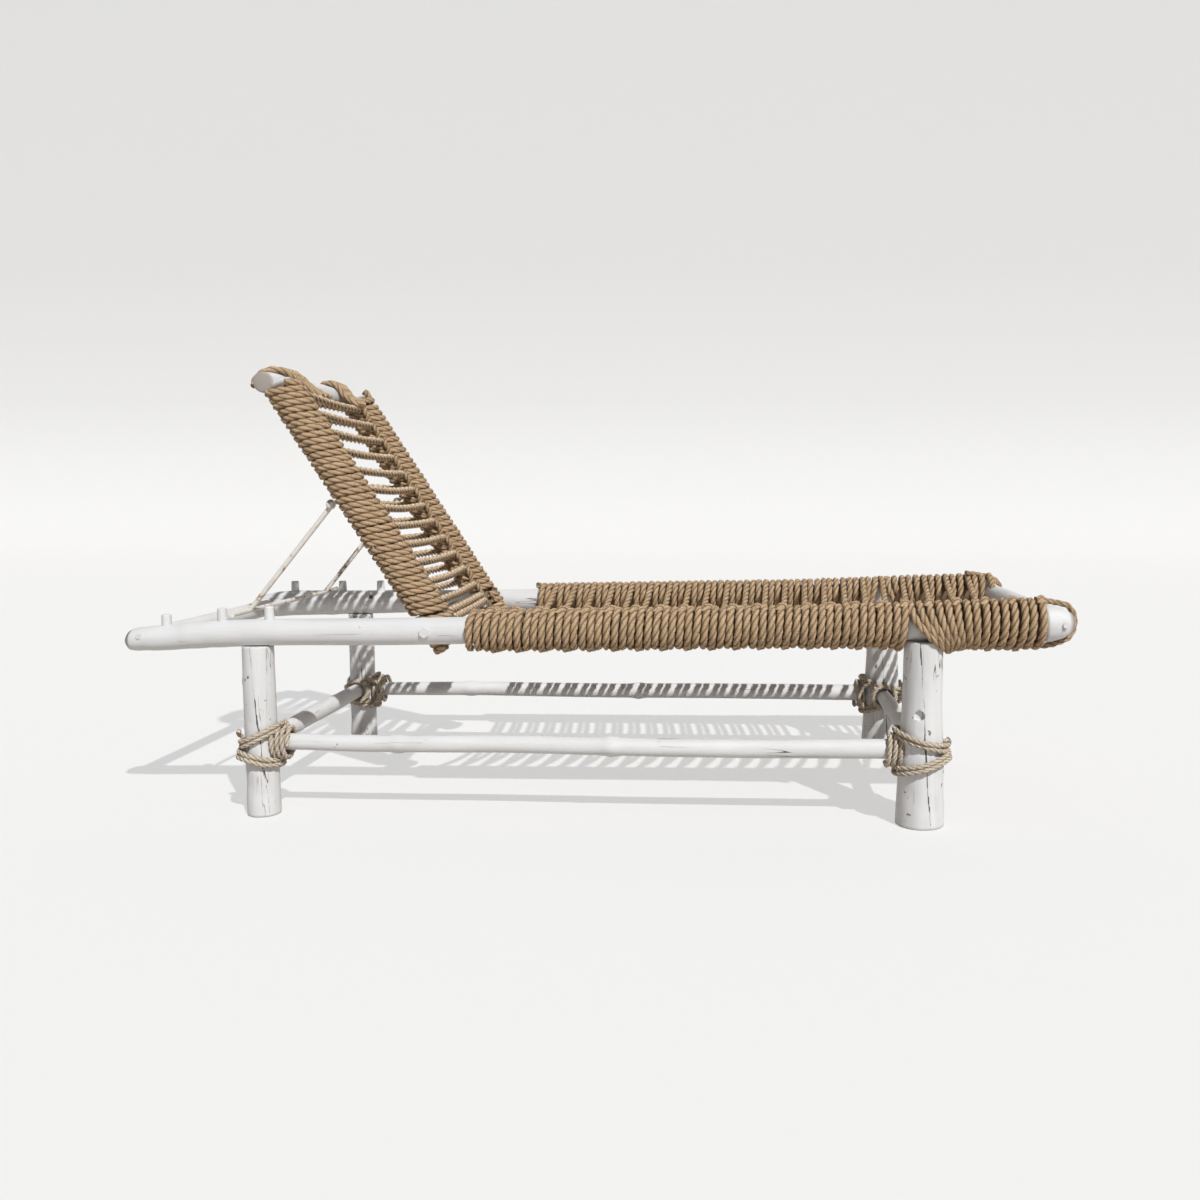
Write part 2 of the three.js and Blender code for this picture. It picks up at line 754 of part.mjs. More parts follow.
// End loop: a rope carried round the tip of each rail at the foot.
function footLoop(side) {
  const over = railRadiusAt(footBarX) + footLoopSlack + ropeRadius;
  const start = footBarX - footBarRadius + ropeRadius;
  const straight = railFootEnd - over * footLoopTuck;
  const steps = 6;
  const wider = 1 / Math.cos(Math.PI / (2 * steps));
  const points = [bedPoint(start, side * railHalf, over)];
  for (let i = 0; i <= steps; i++) {
    const angle = Math.PI / 2 - (Math.PI * i) / steps;
    const reach = railFootEnd + footLoopSlack + ropeRadius - straight;
    const x = straight + reach * wider * Math.cos(angle);
    points.push(bedPoint(x, side * railHalf, over * wider * Math.sin(angle)));
  }
  points.push(bedPoint(start, side * railHalf, -over));
  return points;
}

// Leg lashing: turns round the leg that dip on its free side, then turns round the stretcher.
function lashing(legX, side) {
  const steps = 8;
  const alongBed = -Math.sign(legX);
  const spread = 2 * lashRadius + lashSpread;
  const ring = (stretcherRadius + knotSwell / 2 + fit + lashRadius) / Math.cos(Math.PI / steps);
  const wider = 1 / Math.cos(Math.PI / steps);
  const legAt = (z) => (legRadiusAt(legX, z - lashRadius) + lashingSeat + lashRadius) * wider;
  const points = [];
  const legTurns = 2;
  for (let i = 0; i <= legTurns * steps; i++) {
    const turned = (2 * Math.PI * (i - legTurns * steps)) / steps;
    const dip = (lashDip / 2) * (Math.SQRT1_2 - Math.cos(turned + Math.PI / 4));
    const z = stretcherHeight + ring - (spread * turned) / (2 * Math.PI) - dip;
    const radius = legAt(z);
    points.push(new THREE.Vector3(
      legX + alongBed * radius * Math.cos(turned),
      side * (railHalf + radius * Math.sin(turned)),
      z,
    ));
  }
  const legSkin = legAt(stretcherHeight + ring);
  const stretcherTurns = 2;
  for (let i = 1; i <= stretcherTurns * steps; i++) {
    const turned = (2 * Math.PI * i) / steps;
    const along = legSkin + (spread * turned) / (2 * Math.PI);
    points.push(new THREE.Vector3(
      legX + alongBed * along,
      side * (railHalf + ring * Math.sin(turned)),
      stretcherHeight + ring * Math.cos(turned),
    ));
  }
  return points;
}

// Assembly.
const sides = [['right', -1], ['left', 1]];
const ends = [
  ['head', legHeadX, headBarX, headBarRadius],
  ['foot', legFootX, footBarX, footBarRadius],
];

for (const [sideName, side] of sides) {
  place(`side_rail_${sideName}`, railSolid(side * railHalf), 'paint');
  place(`side_stretcher_${sideName}`, sideStretcher(side * railHalf), 'paint');
  pegPlaces[sideName].forEach((x, i) => place(`peg_${sideName}_${i + 1}`, pegSolid(x, side), 'paint'));
  place(`pivot_bolt_${sideName}`, boltSolid(side), 'steel');
  place(`pivot_spacer_${sideName}`, spacerSolid(side), 'steel');
  place(`pivot_nut_${sideName}`, nutSolid(side), 'steel');
  place(`back_pole_${sideName}`, backPoleSolid(side), 'paint');
  place(`prop_eye_${sideName}`, eyeSolid(side), 'rod');
  place(`prop_rod_${sideName}`, propRodSolid(side), 'rod');
  ropeNode(`back_tail_wrap_${sideName}`, tailWrap(side), ropeRadius, 'rope');
  ropeNode(`top_band_${sideName}`, topBand(side), ropeRadius, 'rope');
  ropeNode(`leg_pass_rope_${sideName}`, legPass(side), ropeRadius, 'rope');
  ropeNode(`foot_loop_${sideName}`, footLoop(side), ropeRadius, 'rope');
}

for (const [endName, legX, barX, barRadius] of ends) {
  place(`${endName}_crossbar`, crossbarSolid(barX, barRadius), 'paint');
  place(`end_stretcher_${endName}`, endStretcher(legX), 'paint');
  for (const [sideName, side] of sides) {
    place(`leg_${endName}_${sideName}`, legSolid(legX, side * railHalf), 'paint');
    place(`crossbar_screw_${endName}_${sideName}`, screwSolid(barX, side), 'steel');
    ropeNode(`lashing_${endName}_${sideName}`, lashing(legX, side), lashRadius, 'lashing');
  }
}

place('back_top_bar', topBarSolid(), 'paint');
place('back_bottom_bar', bottomBarSolid(), 'paint');
place('prop_crossbar', propBarSolid(), 'rod');
ropeNode('seat_rope', bedWebbing(seatStart, seatEnd, seatLevels), ropeRadius, 'rope');
ropeNode('foot_rope', bedWebbing(footStart, footEnd, footLevels, footRopeSeat), ropeRadius, 'rope');
ropeNode('back_rope', backWebbing(), ropeRadius, 'rope');

export default charpai;
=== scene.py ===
import math

import bmesh
import bpy
from mathutils import Matrix, Vector, noise


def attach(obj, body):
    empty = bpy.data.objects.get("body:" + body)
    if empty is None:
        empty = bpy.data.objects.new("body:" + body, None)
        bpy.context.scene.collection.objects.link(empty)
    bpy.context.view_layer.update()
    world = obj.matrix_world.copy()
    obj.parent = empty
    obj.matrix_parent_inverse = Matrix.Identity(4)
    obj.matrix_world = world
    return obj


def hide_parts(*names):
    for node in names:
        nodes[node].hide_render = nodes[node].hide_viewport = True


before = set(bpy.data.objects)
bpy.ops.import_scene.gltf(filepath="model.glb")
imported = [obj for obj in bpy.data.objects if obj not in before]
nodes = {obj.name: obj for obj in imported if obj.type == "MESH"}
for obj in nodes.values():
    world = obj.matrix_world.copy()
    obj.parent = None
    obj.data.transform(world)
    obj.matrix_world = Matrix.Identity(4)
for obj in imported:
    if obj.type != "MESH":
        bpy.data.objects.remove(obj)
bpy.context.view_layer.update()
scene = bpy.context.scene


# Camera. It stands at the side of the bed, nearer the foot end, a little above the rope seat,
# and looks slightly down at it. A small sideways shift frames the bed as in the photograph.
camera_data = bpy.data.cameras.new("camera")
camera_data.sensor_width = 36
camera_data.lens = 31.93
camera_data.shift_x = -0.07
camera_data.clip_end = 60
camera = bpy.data.objects.new("camera", camera_data)
camera.location = (0.300, -2.500, 0.6986)
camera.rotation_euler = (math.radians(90 - 6.01), 0, math.radians(2.95))
scene.collection.objects.link(camera)
scene.camera = camera
scene.view_settings.view_transform = "Standard"


# Floor and backdrop. One pale sheet lies under the bed and curves up far behind it. What the
# camera sees of it is partly its own pale grey, and the rest shows the bed's shadow. The light
# that it throws back up is a little warm.
def feed(tree, node, fed):
    """Gives each named input of a node a value, or a link from another node's output."""
    for key, value in fed.items():
        if isinstance(value, bpy.types.NodeSocket):
            tree.links.new(value, node.inputs[key])
        else:
            node.inputs[key].default_value = value


def made(tree, kind, output, fed, **settings):
    """The named output of a new shader node, once the node is set and fed."""
    node = tree.nodes.new(f"ShaderNode{kind}")
    for key, setting in settings.items():
        setattr(node, key, setting)
    feed(tree, node, fed)
    return node.outputs[output]


def mixed(tree, factor, first, second, blend="MIX"):
    """The first tone, mixed with the second or multiplied by it."""
    fed = {"Factor": factor, "A": first, "B": second}
    return made(tree, "Mix", "Result", fed, data_type="RGBA", blend_type=blend)


def spread(tree, value, low, high, to_low=0.0, to_high=1.0):
    """A value that runs from low to high, made to run from to_low to to_high."""
    fed = {"Value": value, "From Min": low, "From Max": high, "To Min": to_low, "To Max": to_high}
    return made(tree, "MapRange", "Result", fed)


def reckoned(tree, operation, *values):
    """One step of arithmetic on values or outputs."""
    return made(tree, "Math", 0, dict(enumerate(values)), operation=operation)


def new_material(name):
    """A material, its node tree, and the place on the piece that its patterns read."""
    material = bpy.data.materials.new(name)
    material.use_nodes = True
    tree = material.node_tree
    return material, tree, made(tree, "TexCoord", "Object", {})


def as_mesh(name, shape, smooth=True):
    """Turns a finished bmesh into mesh data."""
    for face in shape.faces:
        face.smooth = smooth
    data = bpy.data.meshes.new(name)
    shape.to_mesh(data)
    shape.free()
    return data


def finish_mesh(name, data, material, body=None, replaced=()):
    """The finished piece: body is what it moves with, replaced names the solids it stands for."""
    piece = bpy.data.objects.new(name, data)
    scene.collection.objects.link(piece)
    data.materials.clear()
    data.materials.append(material)
    if body:
        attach(piece, body)
    if replaced:
        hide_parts(*replaced)
    return piece


backdrop_paint, tree, place = new_material("backdrop")
tree.nodes.remove(tree.nodes["Principled BSDF"])
fade_height = 1.8
glow_strength = 1.335
glow_share = 0.42
height = made(tree, "SeparateXYZ", "Z", {0: place})
pale_grey = mixed(tree, spread(tree, height, 0, fade_height), (0.97, 0.97, 0.97, 1), (0.735, 0.735, 0.735, 1))
ray = tree.nodes.new("ShaderNodeLightPath").outputs
lit_tone = mixed(tree, ray["Is Camera Ray"], (0.585, 0.548, 0.515, 1), (0.55, 0.55, 0.55, 1))
lit = made(tree, "BsdfDiffuse", "BSDF", {"Color": lit_tone})
glow = made(tree, "Emission", "Emission", {"Color": pale_grey, "Strength": glow_strength})
seen = reckoned(tree, "MAXIMUM", ray["Is Camera Ray"], ray["Is Glossy Ray"])
shares = {"Fac": reckoned(tree, "MULTIPLY", seen, glow_share), 1: lit, 2: glow}
feed(tree, tree.nodes["Material Output"], {"Surface": made(tree, "MixShader", "Shader", shares)})

floor_reach = 26.0
bend_place, bend_radius, bend_steps = 8.0, 3.5, 8
sheet = bmesh.new()
bmesh.ops.create_grid(sheet, x_segments=1, y_segments=1, size=floor_reach)
for vert in sheet.verts:
    vert.co.y = bend_place if vert.co.y > 0 else -floor_reach
far_edge = [e for e in sheet.edges if all(v.co.y > bend_place - 0.1 for v in e.verts)]
rises = []
for turned in range(bend_steps):
    angle = math.radians(90) * (turned + 0.5) / bend_steps
    step = bend_radius * math.radians(90) / bend_steps
    rises.append((0, step * math.cos(angle), step * math.sin(angle)))
rises.append((0, 0, floor_reach))
for rise in rises:
    lifted = bmesh.ops.extrude_edge_only(sheet, edges=far_edge)["geom"]
    bmesh.ops.translate(sheet, verts=[v for v in lifted if isinstance(v, bmesh.types.BMVert)], vec=rise)
    far_edge = [e for e in lifted if isinstance(e, bmesh.types.BMEdge)]
floor = finish_mesh("backdrop", as_mesh("backdrop", sheet), backdrop_paint)


# Lights. A low bright lamp far to the front and right throws the rungs' striped shadows on the
# far poles, and a pale world fills the shade.
sun_data = bpy.data.lights.new("sun", "SUN")
sun_data.energy = 3.55
sun_data.color = (1.0, 0.99, 0.975)
sun_data.angle = math.radians(0.9)
sun = bpy.data.objects.new("sun", sun_data)
sun.rotation_euler = Vector((0.27, -0.42, 0.48)).to_track_quat("Z", "Y").to_euler()
scene.collection.objects.link(sun)

world = bpy.data.worlds.new("studio")
world.use_nodes = True
feed(world.node_tree, world.node_tree.nodes["Background"], {"Color": (0.90, 0.95, 1.0, 1), "Strength": 0.22})
scene.world = world


# Poles. Peeled, slightly crooked round timber, painted white by brush and left to weather: the
# paint has run along the grain, split over drying cracks, and chipped off at ends and knots.
def noise_at(tree, place, scale, detail, roughness):
    fed = {"Vector": place, "Scale": scale, "Detail": detail, "Roughness": roughness}
    return made(tree, "TexNoise", "Fac", fed)


def surface_group(name, inputs):
    """A node group that gives a colour, a roughness and a height, with the inputs listed."""
    group = bpy.data.node_groups.new(name, "ShaderNodeTree")
    for word, kind in inputs:
        group.interface.new_socket(word, in_out="INPUT", socket_type=f"NodeSocket{kind}")
    for word, kind in (("Colour", "Color"), ("Roughness", "Float"), ("Height", "Float")):
        group.interface.new_socket(word, in_out="OUTPUT", socket_type=f"NodeSocket{kind}")
    return group, group.nodes.new("NodeGroupInput").outputs, group.nodes.new("NodeGroupOutput")


def use_group(tree, group, fed):
    """Places a group in a material, and gives back what it puts out."""
    node = tree.nodes.new("ShaderNodeGroup")
    node.node_tree = group
    feed(tree, node, fed)
    return node.outputs


def coat(tree, colour, roughness, height, strength, distance):
    """Gives a material's shader its colour and roughness, and the bumps of a height."""
    normal = made(tree, "Bump", "Normal", {"Height": height, "Strength": strength, "Distance": distance})
    finish = {"Base Color": colour, "Roughness": roughness, "Normal": normal}
    feed(tree, tree.nodes["Principled BSDF"], finish)


paint_group, given, result = surface_group("weathered_paint", [
    ("Place", "Vector"), ("Grain Place", "Vector"), ("Wear", "Float"), ("Stain And Shade", "Float")
])
streaks = noise_at(paint_group, given["Grain Place"], 60, 6, 0.6)
blotches = noise_at(paint_group, given["Place"], 9, 4, 0.5)
crack_lines = noise_at(paint_group, given["Grain Place"], 26, 3, 0.45)
chips = noise_at(paint_group, given["Place"], 34, 8, 0.62)
dirt = noise_at(paint_group, given["Grain Place"], 16, 7, 0.6)
off_line = reckoned(paint_group, "ABSOLUTE", reckoned(paint_group, "SUBTRACT", crack_lines, 0.5))
on_line = spread(paint_group, off_line, 0.0015, 0.006, 1, 0)
cracked = reckoned(paint_group, "MULTIPLY", on_line, spread(paint_group, blotches, 0.52, 0.62))
chip_limit = reckoned(paint_group, "MULTIPLY_ADD", given["Wear"], -0.16, 0.80)
chipped = reckoned(paint_group, "GREATER_THAN", chips, chip_limit)
dirty = spread(paint_group, dirt, 0.58, 0.78, 0, 0.55)
colour = mixed(paint_group, blotches, (0.72, 0.728, 0.735, 1), (0.61, 0.615, 0.62, 1))
colour = mixed(paint_group, 1, colour, spread(paint_group, streaks, 0.35, 0.7, 1.03, 0.93), "MULTIPLY")
# Layers of wear over the paint. The last, dark brown, is bare wood at cut ends, but under rope it is partly
# rope dirt and partly painted shade between the turns.
for mask, tone in (
    (dirty, (0.50, 0.47, 0.43, 1)),
    (chipped, (0.22, 0.17, 0.13, 1)),
    (cracked, (0.10, 0.085, 0.07, 1)),
    (given["Stain And Shade"], (0.16, 0.105, 0.06, 1)),
):
    colour = mixed(paint_group, mask, colour, tone)
sunk = reckoned(paint_group, "ADD", cracked, chipped)
feed(paint_group, result, {
    "Colour": colour,
    "Roughness": spread(paint_group, streaks, 0.3, 0.7, 0.5, 0.72),
    "Height": reckoned(paint_group, "MULTIPLY_ADD", sunk, -1.2, streaks),
})


def painted_wood(name, along, wear, shift, split_x=None):
    """White paint whose streaks and cracks run along "X", "Y", "Z" or "BACK", the lean of the back.

    split_x is where a long drying crack runs up an upright pole, leaning a little.
    """
    material, tree, place = new_material(name)
    moved = made(tree, "Mapping", "Vector", {"Vector": place, "Location": (shift, shift * 0.7, shift * 0.3)})
    grain = moved
    if along == "BACK":
        grain = made(tree, "Mapping", "Vector", {"Vector": moved, "Rotation": (0, math.radians(-55), 0)})
    stretch = {"X": (0.06, 1, 1), "Y": (1, 0.06, 1), "Z": (1, 1, 0.06), "BACK": (0.06, 1, 1)}[along]
    grain = made(tree, "Mapping", "Vector", {"Vector": grain, "Scale": stretch})
    # How far the paint is darkened to brown: real stain at cut ends, and under rope partly painted shade.
    stain_and_shade = made(tree, "Attribute", "Fac", {}, attribute_name="stain_and_shade")
    fed = {"Place": moved, "Grain Place": grain, "Wear": wear, "Stain And Shade": stain_and_shade}
    painted = use_group(tree, paint_group, fed)
    colour = painted["Colour"]
    if split_x is not None:
        apart = tree.nodes.new("ShaderNodeSeparateXYZ")
        feed(tree, apart, {0: place})
        strayed = reckoned(tree, "MULTIPLY_ADD", noise_at(tree, grain, 110, 5, 0.6), 0.014, -split_x - 0.022)
        leant = reckoned(tree, "MULTIPLY_ADD", apart.outputs["Z"], 0.075, strayed)
        distance = reckoned(tree, "ABSOLUTE", reckoned(tree, "ADD", apart.outputs["X"], leant))
        width = spread(tree, noise_at(tree, grain, 90, 2, 0.5), 0.42, 0.62, 0.0001, 0.0012)
        split = reckoned(tree, "LESS_THAN", distance, width)
        colour = mixed(tree, split, colour, (0.07, 0.06, 0.055, 1))
    coat(tree, colour, painted["Roughness"], painted["Height"], 0.35, 0.0012)
    return material


def blend_between(stops, at):
    """The value at a place along a list of (place, value) stops, eased from each to the next."""
    if at <= stops[0][0]:
        return stops[0][1]
    for (low, first), (high, second) in zip(stops, stops[1:]):
        if at <= high:
            share = (at - low) / (high - low)
            share = share * share * (3 - 2 * share)
            return first + (second - first) * share
    return stops[-1][1]


def lay_along(shape, place, direction):
    """Turns an upright shape to lie along a direction, and moves it to its place."""
    turn = Vector((0, 0, 1)).rotation_difference(direction.normalized()).to_matrix().to_4x4()
    bmesh.ops.transform(shape, matrix=Matrix.Translation(place) @ turn, verts=shape.verts)


def pole(name, start, end, girth, material, replaced, knots=(), *, rings, crook, lumps, sides=36, seed=0,
         end_round=(0.004, 0.004), body="bed", stain_and_shade=()):
    """A round pole from start to end.

    girth lists (distance, radius) and knots (distance, angle, height, reach). The stretches
    (from, to, how much) listed last are darkened to brown: bare wood at the cut ends, and under
    rope partly rope dirt and partly painted shade in the slits between the turns.
    """
    start, end = Vector(start), Vector(end)
    length = (end - start).length
    shape = bmesh.new()
    bmesh.ops.create_cone(shape, cap_ends=True, segments=sides, radius1=1, radius2=1, depth=1)
    long_edges = [e for e in shape.edges if abs(e.verts[0].co.z - e.verts[1].co.z) > 0.5]
    bmesh.ops.subdivide_edges(shape, edges=long_edges, cuts=rings, use_grid_fill=False)
    stain = shape.verts.layers.float.new("stain_and_shade")
    for vert in shape.verts:
        at = (vert.co.z + 0.5) * length
        angle = math.atan2(vert.co.y, vert.co.x)
        radius = blend_between(girth, at)
        vert[stain] = max((much for low, high, much in stain_and_shade if low < at < high), default=0.0)
        around = Vector((math.cos(angle) * 1.3, math.sin(angle) * 1.3, at * 7 + seed * 11.7))
        radius *= 1 + lumps * noise.noise(around) + lumps * 0.5 * noise.noise(around * 2.7)
        for knot_at, knot_angle, rise, reach in knots:
            apart = math.atan2(math.sin(angle - knot_angle), math.cos(angle - knot_angle)) * radius
            near = math.hypot(at - knot_at, apart) / reach
            radius += rise * math.exp(-near * near * 2)
        bends = [noise.noise(Vector((at * 3, seed * 3.1, layer))) for layer in (0, 9)]
        bend = Vector((*bends, 0)) * crook
        vert.co = Vector((radius * math.cos(angle), radius * math.sin(angle), at)) + bend
    for at_end, rounding in zip((0, length), end_round):
        rim = [e for e in shape.edges if all(abs(v.co.z - at_end) < 1e-5 for v in e.verts)]
        bmesh.ops.bevel(
            shape, geom=rim, offset=rounding, segments=4, profile=0.5, affect="EDGES", material=-1
        )
    lay_along(shape, start, end - start)
    return finish_mesh(name, as_mesh(name, shape), material, body, replaced)


# Side poles. Two long round poles carry the whole bed, and the seat rope is wound round them.
# They rise a little from head to foot, thicken towards both ends and are rounded off at the tips.
# The right one is flatter than round and sinks towards the head, and the left one droops there.
both_sides = ((-1, "right"), (1, "left"))
rail_half = 0.310
rail_radius = 0.0285
rail_head, rail_foot = -1.0008, 0.984
right_flatness = [
    (-1.0008, 0.66), (-0.988, 0.83), (-0.955, 0.80), (-0.915, 0.815), (-0.807, 0.88), (-0.70, 0.91),
    (-0.42, 1),
]
right_droop = [
    (-1.0008, -0.0115), (-0.962, -0.0085), (-0.915, -0.0070), (-0.853, -0.003), (-0.807, 0),
    (-0.70, 0.0015), (-0.42, 0),
]


def rail_height(x):
    return 0.406 + 0.0191 * x


def rail_girth(x):
    """The radius of a side pole before it narrows at the tips."""
    head = blend_between([(0.352, 0), (0.977, 0.005)], -x)
    foot = blend_between([(0.3645, 0), (0.957, 0.009)], x)
    return rail_radius + head + foot


def rail_trim(x, side):
    """How much flatter than round a side pole is, and how far it droops, towards the head."""
    if side > 0:
        return 1.0, -0.009 * min(max((-0.90 - x) / 0.10, 0), 1) ** 1.6
    return blend_between(right_flatness, x), blend_between(right_droop, x)


def on_rail(x, side):
    return Vector((x, side * rail_half, rail_height(x)))


seat_begins = {"right": -0.254, "left": -0.228}
seat_ends, foot_begins, foot_ends = 0.640, 0.703, 0.922
for side, word in both_sides:
    start, end = on_rail(rail_head, side), on_rail(rail_foot, side)
    length = (end - start).length
    girth = [(0, rail_girth(rail_head) * 0.80), (0.03, rail_girth(rail_head) * 0.93)]
    girth += [(x - rail_head, rail_girth(x)) for x in [-0.94 + 0.07 * i for i in range(27)]]
    girth = [stop for stop in girth if stop[0] < length - 0.050]
    for before_tip, share in ((0.052, 1), (0.03, 0.88), (0.012, 0.66), (0, 0.36)):
        girth.append((length - before_tip, rail_girth(rail_foot) * share))
    knots = [(0.06, 1.2, 0.0015, 0.012), (0.20, 0.2, 0.002, 0.02), (0.56, 2.0, 0.0012, 0.02)]
    # Dark brown under the seat and foot rope, partly rope dirt and partly painted shade between the turns,
    # and bare brown at both tips.
    stain_and_shade = [
        (seat_begins[word] - rail_head, seat_ends - rail_head, 1.0),
        (foot_begins - rail_head, foot_ends - rail_head, 1.0),
        (length - 0.009, length + 1, 0.7), (-1, 0.0020, 0.4),
    ]
    side_pole = pole(
        f"side_pole_{word}", start, end, girth, painted_wood(f"rail_paint_{word}", "X", 0.30, side * 2.0),
        [f"side_rail_{word}"], knots, rings=240, seed=side, crook=0.0012, lumps=0.015,
        end_round=(0.014, 0.006), stain_and_shade=stain_and_shade,
    )
    for vert in side_pole.data.vertices:
        flat, droop = rail_trim(vert.co.x, side)
        vert.co.z = rail_height(vert.co.x) * (1 - flat) + vert.co.z * flat + droop


# Legs. Short thick posts sawn flat at both ends. The two at the foot end are stouter, and the
# right one has a round plug hole and a rough base where its paint has flaked.
def carve(piece, start, end, radius):
    """Cuts a round bore from start to end out of a piece."""
    cutter = bmesh.new()
    start, end = Vector(start), Vector(end)
    length = (end - start).length
    bmesh.ops.create_cone(cutter, cap_ends=True, segments=40, radius1=radius, radius2=radius, depth=length)
    lay_along(cutter, (start + end) / 2, end - start)
    tool = bpy.data.objects.new("cutter", as_mesh("cutter", cutter, smooth=False))
    scene.collection.objects.link(tool)
    notch = piece.modifiers.new("notch", "BOOLEAN")
    notch.operation = "DIFFERENCE"
    notch.object = tool
    carved = bpy.data.meshes.new_from_object(piece.evaluated_get(bpy.context.evaluated_depsgraph_get()))
    piece.modifiers.clear()
    piece.data = carved
    bpy.data.objects.remove(tool)


leg_places = {"head": -0.720, "foot": 0.680}
leg_base = {"head": 0.0345, "foot": 0.050}
leg_waist = {"head": 0.0334, "foot": 0.0455}
leg_top = {"head": 0.0320, "foot": 0.040}
leg_split = {"head": 0.008, "foot": 0.000}
hole_height, hole_radius = 0.237, 0.0105
for end_word, leg_x in leg_places.items():
    for side, word in both_sides:
        flat, droop = rail_trim(leg_x, side)
        top = rail_height(leg_x) - rail_girth(leg_x) * flat + droop + 0.0010
        base, crown = leg_base[end_word], leg_top[end_word]
        girth = [(0, base), (top * 0.3, (base * 2 + crown) / 3), (top * 0.7, crown * 1.02), (top, crown)]
        knots = [(0.29, 3.4, 0.002, 0.014), (0.31, 4.6, 0.0015, 0.010), (0.08, 4.2, 0.001, 0.02)]
        knots += [(0.075, 4.1, -0.0035, 0.030), (0.045, 5.1, -0.002, 0.022), (0.205, 4.5, -0.0018, 0.008)]
        paint = painted_wood(
            f"leg_paint_{end_word}_{word}", "Z", 0.92, leg_x * 3 + side, leg_x + leg_split[end_word]
        )
        leg = pole(
            f"leg_post_{end_word}_{word}", (leg_x, side * rail_half, 0), (leg_x, side * rail_half, top),
            girth, paint, [f"leg_{end_word}_{word}"], knots, rings=60, sides=44, seed=leg_x * 5 + side,
            crook=0.0006, lumps=0.025, end_round=(0.0022, 0.0025), stain_and_shade=[(-1, 0.0030, 0.5)],
        )
        if (end_word, word) == ("foot", "right"):
            mouth = Vector((leg_x - 0.0105, -rail_half - 0.06, hole_height))
            carve(leg, mouth, (leg_x - 0.0105, -rail_half - 0.031, hole_height), hole_radius)


# Lower stretchers. Thinner peeled poles, painted like the rest and let into the legs all round
# near the floor. Those at the sides bear two rings of knots, and those at the ends two knots each.
stretcher_z = 0.157
stretcher_start, stretcher_end = leg_places["head"] + 0.028, leg_places["foot"] - 0.043
knots = [(0.27, quarter * math.pi / 2, 0.0032, 0.016) for quarter in range(4)]
knots += [(0.725, quarter * math.pi / 2, 0.0042, 0.018) for quarter in range(4)]
for side, word in both_sides:
    start = Vector((stretcher_start, side * rail_half, stretcher_z))
    end = Vector((stretcher_end, side * rail_half, stretcher_z))
    length = (end - start).length
    pole(
        f"side_stretcher_pole_{word}", start, end,
        [(0, 0.0175), (0.2, 0.0180), (0.6, 0.0190), (length, 0.0205)],
        painted_wood(f"stretcher_paint_{word}", "X", 0.5, side * 4.0), [f"side_stretcher_{word}"],
        knots, rings=120, sides=28, seed=side * 7, crook=0.004, lumps=0.03,
    )
for end_word, leg_x in leg_places.items():
    inner = rail_half - leg_waist[end_word] + 0.006
    pole(
        f"end_stretcher_pole_{end_word}", (leg_x, -inner, stretcher_z), (leg_x, inner, stretcher_z),
        [(0, 0.019), (0.3, 0.0195), (inner * 2, 0.0185)],
        painted_wood(f"end_stretcher_paint_{end_word}", "Y", 0.4, leg_x), [f"end_stretcher_{end_word}"],
        [(0.15, 0.5, 0.003, 0.015), (0.35, 3.0, 0.003, 0.015)],
        rings=70, sides=28, seed=leg_x * 9, crook=0.002, lumps=0.03,
    )


# Crossbars. Straight poles between the side poles at both ends of the bed, the foot one stouter.
# They are butted against the side poles and screwed on from outside.
crossbar_places = {"head": -0.962, "foot": 0.957}
crossbar_radius = {"head": 0.0215, "foot": 0.026}
for end_word, bar_x in crossbar_places.items():
    radius = crossbar_radius[end_word]
    inner = rail_half - rail_girth(bar_x) + 0.006
    bar_z = rail_height(bar_x) + rail_trim(bar_x, -1)[1]
    pole(
        f"{end_word}_crossbar_pole", (bar_x, -inner, bar_z), (bar_x, inner, bar_z),
        [(0, radius * 0.97), (0.3, radius), (inner * 2, radius * 0.98)],
        painted_wood(f"{end_word}_crossbar_paint", "Y", 0.35, bar_x * 2), [f"{end_word}_crossbar"],
        [(0.2, 1.0, 0.002, 0.02)], rings=60, sides=30, seed=bar_x * 3, crook=0.001, lumps=0.02,
    )


# Pegs. Short hardwood dowels driven into the tops of the side poles and painted over. The bar of
# the prop rests behind a pair of them.
peg_places = {"right": (-0.916, -0.794, -0.692), "left": (-0.898, -0.767, -0.663)}
for side, word in both_sides:
    for number, peg_x in enumerate(peg_places[word], 1):
        flat, droop = rail_trim(peg_x, side)
        crown = rail_height(peg_x) + rail_girth(peg_x) * flat + droop
        tall = 0.026 + droop * 0.5
        pole(
            f"peg_dowel_{word}_{number}", (peg_x, side * rail_half, crown - 0.004),
            (peg_x, side * rail_half, crown + tall), [(0, 0.0102), (0.03, 0.0096)],
            painted_wood(f"peg_paint_{word}_{number}", "Z", 0.45, peg_x * 3), [f"peg_{word}_{number}"],
            rings=6, sides=24, seed=peg_x * 17, crook=0, lumps=0.03, end_round=(0.0005, 0.0025),
        )


# Back frame. Two side poles that hang on the pivot bolts, a top bar lying in their notched ends
# and a thin bar low down between them. Nearly all of it is hidden by rope.
pivot = Vector((-0.352, 0, 0.399277))
lean = math.radians(57.5)
up_back = Vector((-math.cos(lean), 0, math.sin(lean)))
behind_back = Vector((-math.sin(lean), 0, -math.cos(lean)))
back_half = 0.225
back_radius = 0.025
saddle_distance, saddle_behind, saddle_radius = 0.640, 0.028, 0.0252
top_bar_half, top_bar_radius = 0.237, 0.0246
low_bar_half, low_bar_radius = 0.198, 0.0138


def on_back(distance, y, behind=0.0):
    """A place on the back: distance up from the pivot, across by y, and behind its poles' middle."""
    return pivot + up_back * distance + behind_back * behind + Vector((0, y, 0))


